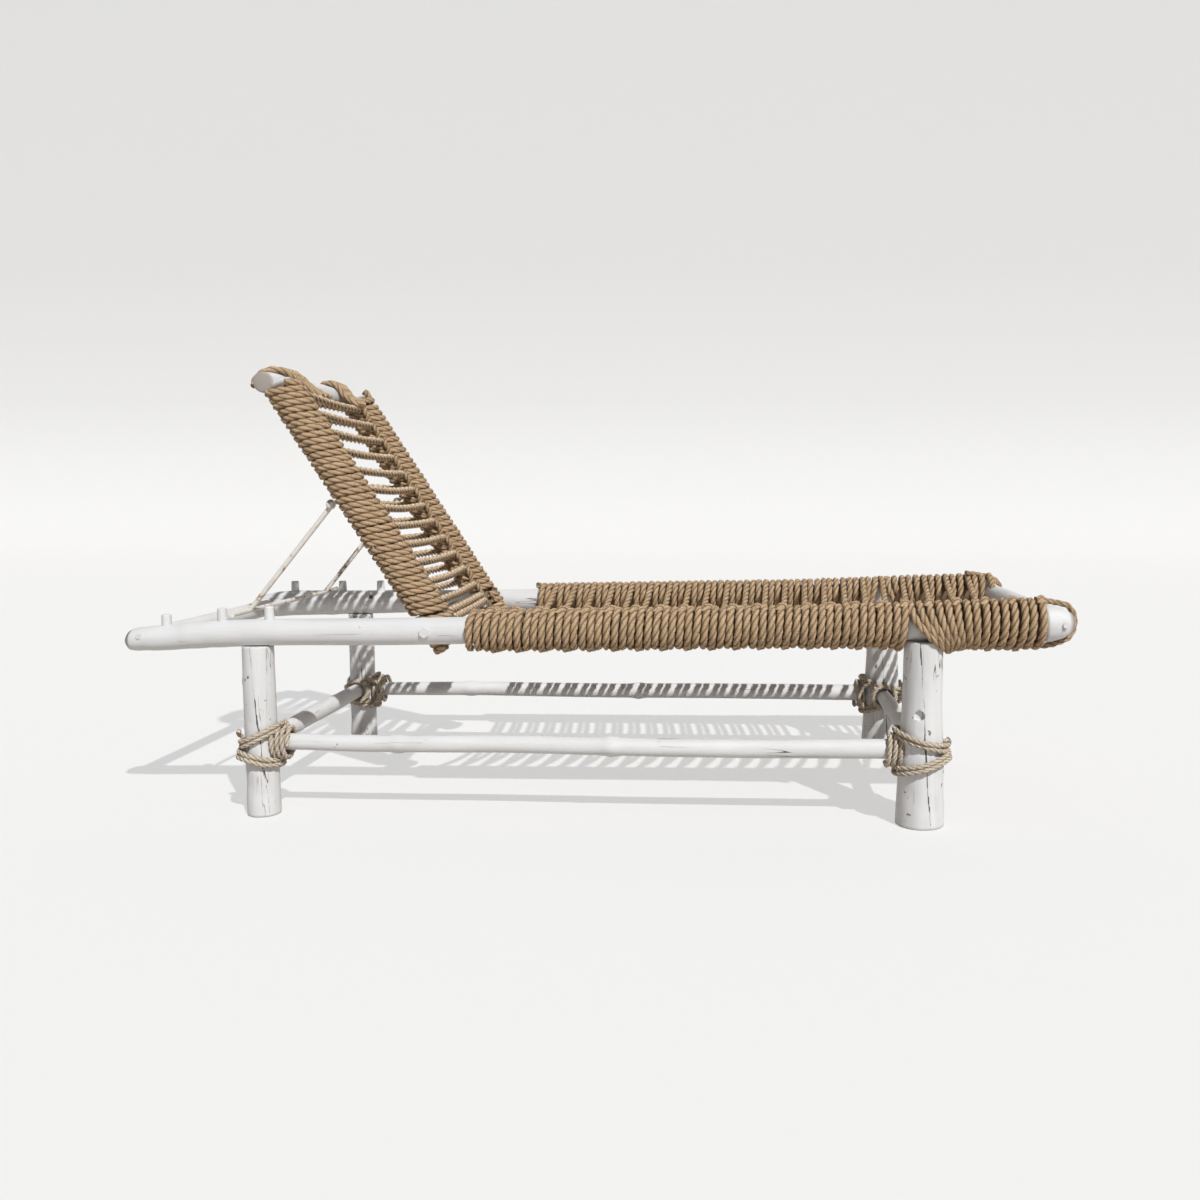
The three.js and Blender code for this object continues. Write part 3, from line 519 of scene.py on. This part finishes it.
for side, word in both_sides:
    # The stretch under the back's rope is dark brown, partly rope dirt and partly painted shade between the
    # turns.
    back_pole = pole(
        f"back_side_pole_{word}", on_back(-0.0415, side * back_half), on_back(0.622, side * back_half),
        [(0, back_radius * 0.96), (0.3, back_radius), (0.68, back_radius * 0.98)],
        painted_wood(f"back_pole_paint_{word}", "BACK", 0.4, side * 3.0), [f"back_pole_{word}"],
        rings=60, sides=30, seed=side * 13, crook=0, lumps=0.012, body="backrest",
        stain_and_shade=[(0.003, 0.660, 1.0)],
    )
    saddle = [on_back(saddle_distance, y, saddle_behind) for y in (-0.35, 0.35)]
    carve(back_pole, *saddle, saddle_radius)
pole(
    "back_top_pole", on_back(saddle_distance, -top_bar_half, saddle_behind),
    on_back(saddle_distance, top_bar_half, saddle_behind),
    [(0, 0.0226), (0.05, top_bar_radius), (0.4, 0.0247), (0.474, 0.0238)],
    painted_wood("top_bar_paint", "Y", 0.35, 1.7), ["back_top_bar"], [(0.31, 4.5, 0.0015, 0.02)],
    rings=70, sides=32, seed=21, crook=0.001, lumps=0.015, end_round=(0.005, 0.005), body="backrest",
    stain_and_shade=[(-1, 0.0030, 0.62)],
)
pole(
    "back_low_bar", on_back(0.024, -low_bar_half), on_back(0.024, low_bar_half),
    [(0, low_bar_radius), (0.4, low_bar_radius)],
    painted_wood("low_bar_paint", "Y", 0.35, 2.9), ["back_bottom_bar"],
    rings=30, sides=24, seed=5, crook=0, lumps=0.02, body="backrest", stain_and_shade=[(-1, 1, 0.9)],
)


# Rope. Thick natural three-strand rope, hard laid and hairy. Each strand shows its own fine
# yarns, which lie along the rope, and shade is painted into the grooves between the strands.
strands = 3
rope_group, given, result = surface_group("rope_lay", [
    ("Lay Place", "Vector"), ("Place", "Vector"), ("Pale", "Color"), ("Mid", "Color"), ("Dark", "Color"),
    ("Yarns", "Float"), ("Groove Shade", "Float"),
])
turn_place = rope_group.nodes.new("ShaderNodeSeparateXYZ")
feed(rope_group, turn_place, {0: given["Lay Place"]})
unrest = noise_at(rope_group, given["Place"], 70, 3, 0.6)
fuzz = noise_at(rope_group, given["Place"], 420, 5, 0.7)
patches = noise_at(rope_group, given["Place"], 38, 4, 0.6)
strand_turn = reckoned(rope_group, "MULTIPLY", turn_place.outputs["Y"], 2 * strands * math.pi)
# Painted shade: the colour darkens towards the dark tone in the grooves between strands, where they shade
# each other.
groove_shade = spread(rope_group, reckoned(rope_group, "COSINE", strand_turn), -1.0, given["Groove Shade"], 1, 0)
strayed = reckoned(rope_group, "MULTIPLY_ADD", unrest, 0.10, turn_place.outputs["Y"])
across = reckoned(rope_group, "ADD", turn_place.outputs["X"], strayed)
yarn = reckoned(rope_group, "MULTIPLY", across, given["Yarns"])
yarn_wave = reckoned(rope_group, "SINE", reckoned(rope_group, "MULTIPLY", yarn, 2 * math.pi))
colour = mixed(rope_group, spread(rope_group, patches, 0.3, 0.7), given["Mid"], given["Pale"])
colour = mixed(rope_group, 1, colour, spread(rope_group, yarn_wave, -1, 1, 0.70, 1.12), "MULTIPLY")
colour = mixed(rope_group, 1, colour, spread(rope_group, fuzz, 0.35, 0.65, 0.72, 1.20), "MULTIPLY")
colour = mixed(rope_group, reckoned(rope_group, "MULTIPLY", groove_shade, 0.78), colour, given["Dark"])
feed(rope_group, result, {
    "Colour": colour,
    "Roughness": spread(rope_group, fuzz, 0.3, 0.7, 0.85, 1.0),
    "Height": reckoned(rope_group, "ADD", reckoned(rope_group, "MULTIPLY", yarn_wave, 0.6), fuzz),
})


def rope_material(name, pale, mid, dark, yarns, groove_shade=-0.25):
    """Rope of the given tones. A higher groove makes the painted shade lines between the strands wider."""
    material, tree, place = new_material(name)
    fed = {"Lay Place": made(tree, "UVMap", "UV", {}, uv_map="UVMap"), "Place": place}
    fed |= {"Pale": pale, "Mid": mid, "Dark": dark, "Yarns": yarns, "Groove Shade": groove_shade}
    laid = use_group(tree, rope_group, fed)
    feed(tree, tree.nodes["Principled BSDF"], {"Specular IOR Level": 0.2})
    coat(tree, laid["Colour"], laid["Roughness"], laid["Height"], 1.0, 0.0012)
    return material


webbing_rope = rope_material(
    "webbing_rope", (0.82, 0.60, 0.385, 1), (0.66, 0.465, 0.285, 1), (0.16, 0.095, 0.045, 1), 11
)
rope_radius = 0.0084
rope_lay_length = 0.064
rope_sides = 12


def rope_profile(name, radius, depth):
    """The rope's cross-section: a ring with a lobe for each strand."""
    curve = bpy.data.curves.new(name, "CURVE")
    curve.dimensions = "2D"
    ring = curve.splines.new("POLY")
    ring.points.add(rope_sides - 1)
    ring.use_cyclic_u = True
    for i, point in enumerate(ring.points):
        angle = 2 * math.pi * i / rope_sides
        reach = radius * (1 - depth + depth * math.cos(strands * angle))
        point.co = (reach * math.cos(angle), reach * math.sin(angle), 0, 1)
    return bpy.data.objects.new(name, curve)


def evenly(route, step):
    """Points a step apart along a dense route."""
    spaced = [route[0].copy()]
    carried = 0.0
    for before, after in zip(route, route[1:]):
        gap = (after - before).length
        at = step - carried
        while at <= gap:
            spaced.append(before.lerp(after, at / gap))
            at += step
        carried = gap - (at - step)
    return spaced


def smooth_route(points, per_span=14):
    """A dense smooth route through a few points."""
    padded = [points[0] * 2 - points[1], *points, points[-1] * 2 - points[-2]]
    route = []
    for p0, p1, p2, p3 in zip(padded, padded[1:], padded[2:], padded[3:]):
        for i in range(per_span):
            t = i / per_span
            route.append(0.5 * (
                p1 * 2 + (p2 - p0) * t + (p0 * 2 - p1 * 5 + p2 * 4 - p3) * t * t
                + (p1 * 3 - p0 - p2 * 3 + p3) * t * t * t
            ))
    route.append(points[-1].copy())
    return route


def swept(name, profile, points):
    """The profile swept along evenly spaced points, one turn to every rope_sides of them."""
    curve = bpy.data.curves.new(name, "CURVE")
    curve.dimensions = "3D"
    curve.bevel_mode = "OBJECT"
    curve.bevel_object = profile
    curve.use_fill_caps = True
    curve.twist_mode = "MINIMUM"
    spline = curve.splines.new("POLY")
    spline.points.add(len(points) - 1)
    for i, (point, place) in enumerate(zip(spline.points, points)):
        point.co = (*place, 1)
        point.tilt = 2 * math.pi * (i % rope_sides) / rope_sides
    holder = bpy.data.objects.new(name, curve)
    scene.collection.objects.link(holder)
    data = bpy.data.meshes.new_from_object(holder.evaluated_get(bpy.context.evaluated_depsgraph_get()))
    for corner in data.uv_layers.active.data:
        corner.uv.x *= (len(points) - 1) / rope_sides
    bpy.data.objects.remove(holder)
    bpy.data.curves.remove(curve)
    return data


def rope(name, routes, body, replaced=(), radius=rope_radius, lay=rope_lay_length, material=webbing_rope,
         slot="webbing_rope", depth=0.13):
    """Laid rope along one or more dense routes, all in one closed piece. Its UV counts the turns."""
    profile = rope_profile(f"{name}_profile", radius, depth)
    whole = bmesh.new()
    for route in routes:
        data = swept(name, profile, evenly(route, lay / rope_sides))
        whole.from_mesh(data)
        bpy.data.meshes.remove(data)
    bpy.data.objects.remove(profile)
    bmesh.ops.remove_doubles(whole, verts=whole.verts, dist=1e-6)
    return finish_mesh(name, as_mesh(name, whole), material, body, replaced)


# Webbing of the seat and of the foot part. Each is one rope wound round both side poles: two turns
# round the right pole, across the top, two turns round the left pole, and back underneath, again
# and again. The stretches that cross sag, and the turns that meet the legs slant apart.
turns_a_level = 2
level_pitches = turns_a_level + 1
turn_points = 28
turn_gap = 0.0002
turn_drift, turn_shake, turn_slack = 0.0024, 0.0007, 0.0024


def winding(levels, start, pitch, turns, side, half, girth_at, to_world, seed,
            slant=0.0, tail=0, first=0, last=0, detour=None):
    """The routes of the turns round one pole, one route a level.

    tail counts the points of each end that run straight on inwards. first and last are the turns
    left out of the first level and added to the last. detour leads the rope past an obstacle.
    """
    routes = []
    for level in range(levels):
        begin = start + level * (turns + 1) * pitch
        count = int(round((turns + 0.5 + (last if level == levels - 1 else 0)) * turn_points))
        skipped = first * turn_points if level == 0 else 0
        route = []
        for i in range(skipped - tail, count + tail + 1):
            turned = i / turn_points
            along = begin + pitch * turned
            along += turn_drift * noise.noise(Vector((along * 60, seed, turned)))
            along += turn_shake * noise.noise(Vector((along * 400, seed + 3, turned * 4)))
            loose = turn_slack * noise.noise(Vector((seed * 3, along * 45, turned * 0.7)))
            reach = girth_at(along) + rope_radius + turn_gap + abs(loose)
            edge = min(max(i, skipped), count)
            angle = -math.pi / 2 + 2 * math.pi * edge / turn_points
            if side > 0:
                angle = -angle
            past = abs(i - edge) / turn_points * 2 * math.pi * reach
            if detour:
                along, wider = detour(along, side, 0.5 - 0.5 * math.sin(angle))
                reach += wider
            out = reach * math.cos(angle) - past
            lift = reach * math.sin(angle)
            route.append(to_world(along - slant * lift, side * (half + out), lift))
        routes.append(route)
    return routes


def bed_place(along, y, lift):
    """A place on the bed: along it, across by y, and lifted from the middle of its side poles."""
    return Vector((along, y, rail_height(along) + lift))


def slack_rope(near, far, sag, over):
    """A slack stretch hung from pole to pole, over both (over = 1) or under both (over = -1)."""
    reach = rail_girth(near) + rope_radius
    aside, deeper = [0.005 * noise.noise(Vector((near * 50, over, k * 3.7))) for k in range(2)]
    aside += 0.004 - 0.007 * over
    path = [
        bed_place(near - 0.008, -rail_half - reach * 0.50, over * reach * 0.86),
        bed_place(near - 0.002, -rail_half - reach * 0.10, over * (reach * 1.02 + 0.0035)),
        bed_place(near + 0.006, -rail_half + reach * 0.30, over * (reach * 0.98 + 0.0040)),
    ]
    for i in range(9):
        share = i / 8
        along = near + 0.011 + (far - near - 0.011) * share + aside * math.sin(math.pi * share)
        y = (rail_half - 0.52 * reach) * (2 * share - 1)
        path.append(bed_place(along, y, over * 0.88 * reach - (sag + deeper) * 4 * share * (1 - share)))
    path += [
        bed_place(far + 0.001, rail_half - reach * 0.05, over * (reach + 0.002)),
        bed_place(far + 0.003, rail_half + reach * 0.55, over * reach * 0.86),
    ]
    return smooth_route(path, 10)


leg_from, leg_to = 0.631, 0.731
crowd_from, crowd_to = 0.612, 0.84


def round_leg(along, side, low):
    """Turns that meet the top of a leg slant away from it lower down, bunched up."""
    split = 0.6405 if side < 0 else 0.6680
    if split <= along < crowd_to:
        crowd = (crowd_to - along) / (crowd_to - split)
        return along + (leg_to - split) * crowd ** 2 * low ** 2, 0.012 * crowd ** 3 * low
    if crowd_from < along < split:
        crowd = (along - crowd_from) / (split - crowd_from)
        return along - (split - leg_from) * crowd ** 2 * low ** 1.5, 0.008 * crowd * low
    return along, 0.0


under_sag = 0.026
for name, levels, start, end, left_later, sag, replaced, seed in (
    ("seat", 18, -0.2605, 0.640, 0.026, 0.074, ["seat_rope"], 3),
    ("foot", 5, 0.642, 0.9135, 0.028, 0.060, ["foot_rope", "leg_pass_rope_right", "leg_pass_rope_left"], 11),
):
    pitch = (end - start) / (level_pitches * levels - 0.5)
    starts = {"right": start, "left": start + left_later}
    for side, word in both_sides:
        routes = winding(
            levels, starts[word], pitch, turns_a_level, side, rail_half, rail_girth, bed_place,
            seed + 5 * side, detour=round_leg,
        )
        rope(f"{name}_turns_{word}", routes, "bed", replaced if side < 0 else ())
    upper, lower = [], []
    for level in range(levels):
        near = start + level * level_pitches * pitch + (turns_a_level + 0.5) * pitch
        far = starts["left"] + (level + 1) * level_pitches * pitch
        upper.append(slack_rope(near, far, sag, 1))
        near = start + (level + 1) * level_pitches * pitch
        far = starts["left"] + level * level_pitches * pitch + (turns_a_level + 0.5) * pitch
        lower.append(slack_rope(near, far, under_sag, -1))
    rope(f"{name}_rungs_upper", upper, "bed")
    rope(f"{name}_rungs_lower", lower[:-1], "bed")


# Webbing of the back. The same winding, but its stretches across are pulled straight and twisted
# harder, and short ends of rope link the front ones along the left pole.
# The painted shade in its grooves is wider, so that the twist shows.
rung_rope = rope_material(
    "rung_rope", (0.90, 0.71, 0.51, 1), (0.76, 0.58, 0.40, 1), (0.09, 0.055, 0.03, 1), 7, 0.55
)
rung_make = {"radius": 0.0092, "lay": 0.080, "material": rung_rope, "depth": 0.26}
back_levels = 12
back_start, back_top_rung = 0.0226, 0.586
back_pitches = level_pitches * back_levels
back_pitch = (back_top_rung - back_start) / (back_pitches - 0.5)
back_slant = 0.5


def back_place(along, y, lift):
    """A place on the back: up it, across by y, and lifted forwards from the middle of its poles."""
    return on_back(along, y, -lift)


for side, word, levels, turns in (
    (-1, "right", back_levels, turns_a_level),
    (1, "left", 1, back_pitches - 1),
):
    routes = winding(
        levels, back_start, back_pitch, turns, side, back_half, lambda at: back_radius, back_place,
        17 + 5 * side, back_slant, tail=1, first=1, last=1,
    )
    rope(f"back_turns_{word}", routes, "backrest", ["back_rope"] if side < 0 else ())
front_spans, rear_spans, links = [], [], []
lift = back_radius + rope_radius
for level in range(-1, back_levels):
    place = back_start + (level * level_pitches + turns_a_level + 0.5) * back_pitch
    sway = [0.003 * noise.noise(Vector((level * 1.7, 5.1, k))) for k in range(4)]
    lean_back = back_slant * lift
    near = back_place(place + sway[0] - lean_back, -back_half + 0.006, lift - 0.001)
    far = back_place(place + sway[1] - lean_back + 0.013, back_half - 0.036, 0.008)
    middle = near.lerp(far, 0.5) + Vector((0, 0, -0.003 - sway[2]))
    front_spans.append(smooth_route([near, middle, far], 60))
    if level < 0:
        aside = up_back * 0.0165
        front_spans.append(smooth_route([near + aside, middle + aside, far + aside], 60))
        continue
    linked = [
        back_place(place - lean_back + 0.018, back_half - 0.036, 0.019),
        back_place(place - lean_back + 0.004, back_half - 0.045, 0.015 + sway[2]),
        back_place(place - lean_back - 0.012, back_half - 0.042, 0.013),
        back_place(place - lean_back - 0.030, back_half - 0.038, 0.000),
    ]
    links.append(smooth_route(linked))
    near = back_place(place + 0.5 * back_pitch + lean_back + 0.012, -back_half + 0.012, -lift)
    far = back_place(place + lean_back + 0.009, back_half - 0.012, -lift)
    middle = near.lerp(far, 0.5) + Vector((0, 0, sway[3] - 0.002))
    rear_spans.append(smooth_route([far, middle, near], 60))
rope("back_rungs_upper", front_spans, "backrest", **rung_make)
rope("back_rungs_lower", rear_spans, "backrest", **rung_make)
rope("back_link_ropes", links, "backrest", radius=0.0070, lay=0.040)
part_turns = {
    "right": [(0.0226, -1.9, 1.9), (0.614, -1.35, 1.15)],
    "left": [(0.0226, -1.9, 2.45), (0.0067, 0.9, 2.45), (0.614, -1.35, 1.15)],
}
for side, word in both_sides:
    routes = []
    for along, first_angle, last_angle in part_turns[word]:
        route = []
        for i in range(31):
            angle = first_angle + (last_angle - first_angle) * i / 30
            at = along + back_pitch * angle / (2 * math.pi)
            reach = lift + 0.001
            out, rise = reach * math.sin(angle), reach * math.cos(angle)
            if along < 0.1:
                out, rise = rise, out
            route.append(back_place(at - back_slant * rise, side * (back_half + out), rise))
        routes.append(route)
    rope(f"back_end_turns_{word}", routes, "backrest")


# Tail wraps. Nearly two turns of the back's own rope, a little thicker there, lie round the foot
# of each back pole, below the pivot. They are where the winding starts.
tail_start, tail_pitch, tail_points = -0.0460, 0.0165, 50
for side, word in both_sides:
    route = []
    for i in range(tail_points):
        turned = 2 * math.pi * i / turn_points
        along = tail_start + tail_pitch * i / turn_points
        route.append(on_back(along, side * (back_half + lift * math.cos(turned)), lift * math.sin(turned)))
    rope(f"tail_turns_{word}", [route], "backrest", [f"back_tail_wrap_{word}"], radius=rope_radius * 1.1)


# Top bands. Ropes laid side by side over the top bar hold it down in the ends of the back poles,
# five of them on the right and four on the left, where a cut end of rope also sticks out.
band_places = {
    "right": [(-0.192 + 0.0170 * i, -0.112 + 0.0130 * i) for i in range(5)],
    "left": [(0.142 + 0.0185 * i, 0.130 + 0.0160 * i) for i in range(4)],
}
reach = top_bar_radius + rope_radius + 0.0005
front = saddle_behind - reach
for word, bands in band_places.items():
    routes = []
    for top_y, low_y in bands:
        path = []
        for i in range(1, 9):
            angle = math.pi * (i / 8)
            y = top_y + (low_y - top_y) * (-0.3 + 0.9 * i / 8)
            distance = saddle_distance + reach * math.sin(angle)
            path.append(on_back(distance, y, saddle_behind + reach * math.cos(angle)))
        path.append(on_back(0.622, top_y + (low_y - top_y) * 0.8, front - 0.002))
        path += [on_back(0.600, low_y, front - 0.010), on_back(0.580, low_y + 0.006, -lift + 0.006)]
        routes.append(smooth_route(path))
    rope(f"top_band_ropes_{word}", routes, "backrest", [f"top_band_{word}"])
stub = [on_back(0.596, 0.240, -0.022), on_back(0.616, 0.243, -0.030), on_back(0.633, 0.240, -0.027)]
rope("back_rope_end_left", [smooth_route(stub)], "backrest", radius=0.0094, lay=0.05)


# Foot loops. The last of the rope is led along the tops of the side poles and down round their
# tips, past the foot crossbar. The left pole carries a second strand beside the first.
loop_radius = 0.0068
over = rail_girth(crossbar_places["foot"]) + loop_radius
for side, word in both_sides:
    middle = side * rail_half
    aside = middle + 0.012
    path = [
        bed_place(0.900, middle - 0.012, over + 0.006), bed_place(0.925, middle - 0.002, over + 0.002),
        bed_place(0.948, aside, over * 0.93),
    ]
    for i in range(7):
        angle = math.pi / 2.4 - math.pi * 0.86 * i / 6
        path.append(bed_place(0.961 + 0.0265 * math.cos(angle), aside, over * 0.86 * math.sin(angle)))
    path += [bed_place(0.940, middle + 0.004, -over), bed_place(0.915, middle, -over - 0.002)]
    routes = [smooth_route(path)]
    if side > 0:
        routes.append(smooth_route([place + Vector((-0.012, -0.010, 0.006)) for place in path[:6]]))
    rope(f"foot_loop_ropes_{word}", routes, "bed", [f"foot_loop_{word}"], radius=loop_radius, lay=0.055)


# Leg lashings. Thinner pale rope ties each leg to its stretchers: turns that cross the leg in a V
# from above and below the side stretcher, then upright turns round that and the end stretcher.
lashing_rope = rope_material(
    "lashing_rope", (1.0, 0.88, 0.725, 1), (0.90, 0.765, 0.60, 1), (0.34, 0.25, 0.17, 1), 9
)
lash_radius = 0.0056
lash_heights = {
    "head": ((0.029, -0.007), (0.040, 0.003), (-0.036, -0.015), (-0.047, -0.025)),
    "foot": ((0.033, 0.005), (0.044, 0.015), (-0.036, -0.002), (-0.047, -0.012)),
}
cross_turn, upright_turn = 56, 22
side_points, end_points = {"head": 73, "foot": 58}, 56
side_grip, end_grip = (0.0272, 0.0325), 0.0285


def by_leg(leg, along, out, rise):
    """A place beside a leg: along the bed, outwards from its middle, up from the stretchers."""
    leg_x, side = leg
    return Vector((leg_x + along, side * (rail_half + out), stretcher_z + rise))


for end_word, leg_x in leg_places.items():
    for side, word in both_sides:
        inward = -math.copysign(1, leg_x)
        radius = leg_waist[end_word] + lash_radius + 0.0012
        at_leg = (leg_x, side)
        routes = []
        for strand, (at_stretcher, at_back) in enumerate(lash_heights[end_word]):
            route = []
            for i in range(cross_turn + 5):
                turned = 2 * math.pi * (i - 2) / cross_turn
                share = (0.5 + 0.5 * math.cos(turned)) ** 1.2
                wobble = 0.003 * noise.noise(Vector((turned, strand * 2.1, leg_x * 9 + side)))
                reach = radius + 0.002 * (strand % 2) + 0.004 * (strand // 2) * (1 - share) + abs(wobble)
                rise = at_back + (at_stretcher - at_back) * share + wobble
                along = inward * reach * math.cos(turned)
                route.append(by_leg(at_leg, along, reach * math.sin(turned), rise))
            routes.append(route)
        side_turns, end_turns = [], []
        for i in range(side_points[end_word]):
            turned = 2 * math.pi * i / upright_turn
            wobble = 0.002 * noise.noise(Vector((turned, 4.4, leg_x * 7 + side)))
            along = inward * (radius - 0.0105 + 0.0115 * i / upright_turn + wobble)
            out = (side_grip[0] + wobble) * math.sin(turned)
            side_turns.append(by_leg(at_leg, along, out, side_grip[1] * math.cos(turned)))
        for i in range(end_points):
            turned = 2 * math.pi * i / upright_turn
            wobble = 0.002 * noise.noise(Vector((turned, 8.4, leg_x * 7 + side)))
            along = (end_grip + wobble) * math.sin(turned)
            out = -radius + 0.0085 - 0.0115 * i / upright_turn
            end_turns.append(by_leg(at_leg, along, out, end_grip * math.cos(turned)))
        spare = [
            by_leg(at_leg, -inward * (radius + 0.001), 0.004, 0.012),
            by_leg(at_leg, -inward * (radius + 0.003), 0.014, 0.020),
            by_leg(at_leg, -inward * (radius - 0.004), 0.026, 0.031),
        ]
        crossed = [
            by_leg(at_leg, inward * 0.030, -0.050, 0.036), by_leg(at_leg, inward * 0.050, -0.032, 0.020),
            by_leg(at_leg, inward * 0.062, -0.033, -0.006), by_leg(at_leg, inward * 0.046, -0.036, -0.036),
        ]
        routes += [side_turns, end_turns, smooth_route(spare), smooth_route(crossed)]
        rope(
            f"leg_lashing_{end_word}_{word}", routes, "bed", [f"lashing_{end_word}_{word}"],
            radius=lash_radius, lay=0.042, material=lashing_rope, slot="lashing_rope",
        )


# Prop. Bent steel rod, painted white, rusting through: a bar that lies across the tops of the
# side poles, and two rods from it up to wire eyes screwed into the backs of the back poles.
def paint_nodes(starts, material):
    """Gives one material to the solids whose names start in one of these ways."""
    for name, node in nodes.items():
        if name.startswith(starts):
            node.data.materials.clear()
            node.data.materials.append(material)


rusting_rod, tree, place = new_material("rusting_rod")
spots = noise_at(tree, place, 55, 6, 0.65)
bare = spread(tree, spots, 0.56, 0.62)
stained = spread(tree, spots, 0.48, 0.60, 0, 0.5)
brown = mixed(tree, noise_at(tree, place, 240, 5, 0.6), (0.27, 0.14, 0.07, 1), (0.42, 0.24, 0.12, 1))
white = mixed(tree, stained, (0.72, 0.70, 0.66, 1), (0.60, 0.50, 0.38, 1))
coat(tree, mixed(tree, bare, white, brown), spread(tree, bare, 0, 1, 0.45, 0.85), spots, 0.4, 0.0006)
paint_nodes("prop_", rusting_rod)


# Fastenings. Plain steel screws in the crossbars and the two bolts that the back hangs on, all
# brushed over with the same white paint, which is wearing off them. The bolts' spacers and nuts
# are bare worn steel.
def worn_steel(name, metallic, first, second):
    """Steel whose tarnish runs between two tones."""
    material, tree, place = new_material(name)
    tarnish = noise_at(tree, place, 160, 5, 0.6)
    rough = spread(tree, tarnish, 0.3, 0.7, 0.35, 0.65)
    finish = {"Base Color": mixed(tree, tarnish, first, second), "Roughness": rough, "Metallic": metallic}
    feed(tree, tree.nodes["Principled BSDF"], finish)
    return material


steel = worn_steel("worn_steel", 0.85, (0.42, 0.40, 0.38, 1), (0.20, 0.16, 0.13, 1))
paint_nodes(("pivot_", "crossbar_screw"), painted_wood("fastening_paint", "Z", 0.9, 1.3))
paint_nodes(("pivot_spacer", "pivot_nut"), steel)


# Nails. Two plain iron nails, one in each side pole, both driven in from the right. Their heads
# stand a little out of the wood: the small one is painted and rusting through, the large one is
# brown with rust.
rust = worn_steel("old_rust", 0.1, (0.30, 0.12, 0.05, 1), (0.16, 0.07, 0.035, 1))
nail_turn = math.radians(30)
nail_out = Vector((0, -math.cos(nail_turn), math.sin(nail_turn)))
nail_sunk, nail_proud = 0.004, 0.0012
for side, word, nail_x, radius, finish in (
    (-1, "right", -0.488, 0.0030, rusting_rod),
    (1, "left", -0.681, 0.0058, rust),
):
    nail_foot = on_rail(nail_x, side) + nail_out * rail_girth(nail_x)
    pole(
        f"rail_nail_{word}", nail_foot - nail_out * nail_sunk, nail_foot + nail_out * nail_proud,
        [(0, radius), (nail_sunk + nail_proud, radius * 0.87)], finish, [],
        rings=3, sides=18, crook=0, lumps=0.05, end_round=(0.0004, 0.0008),
    )
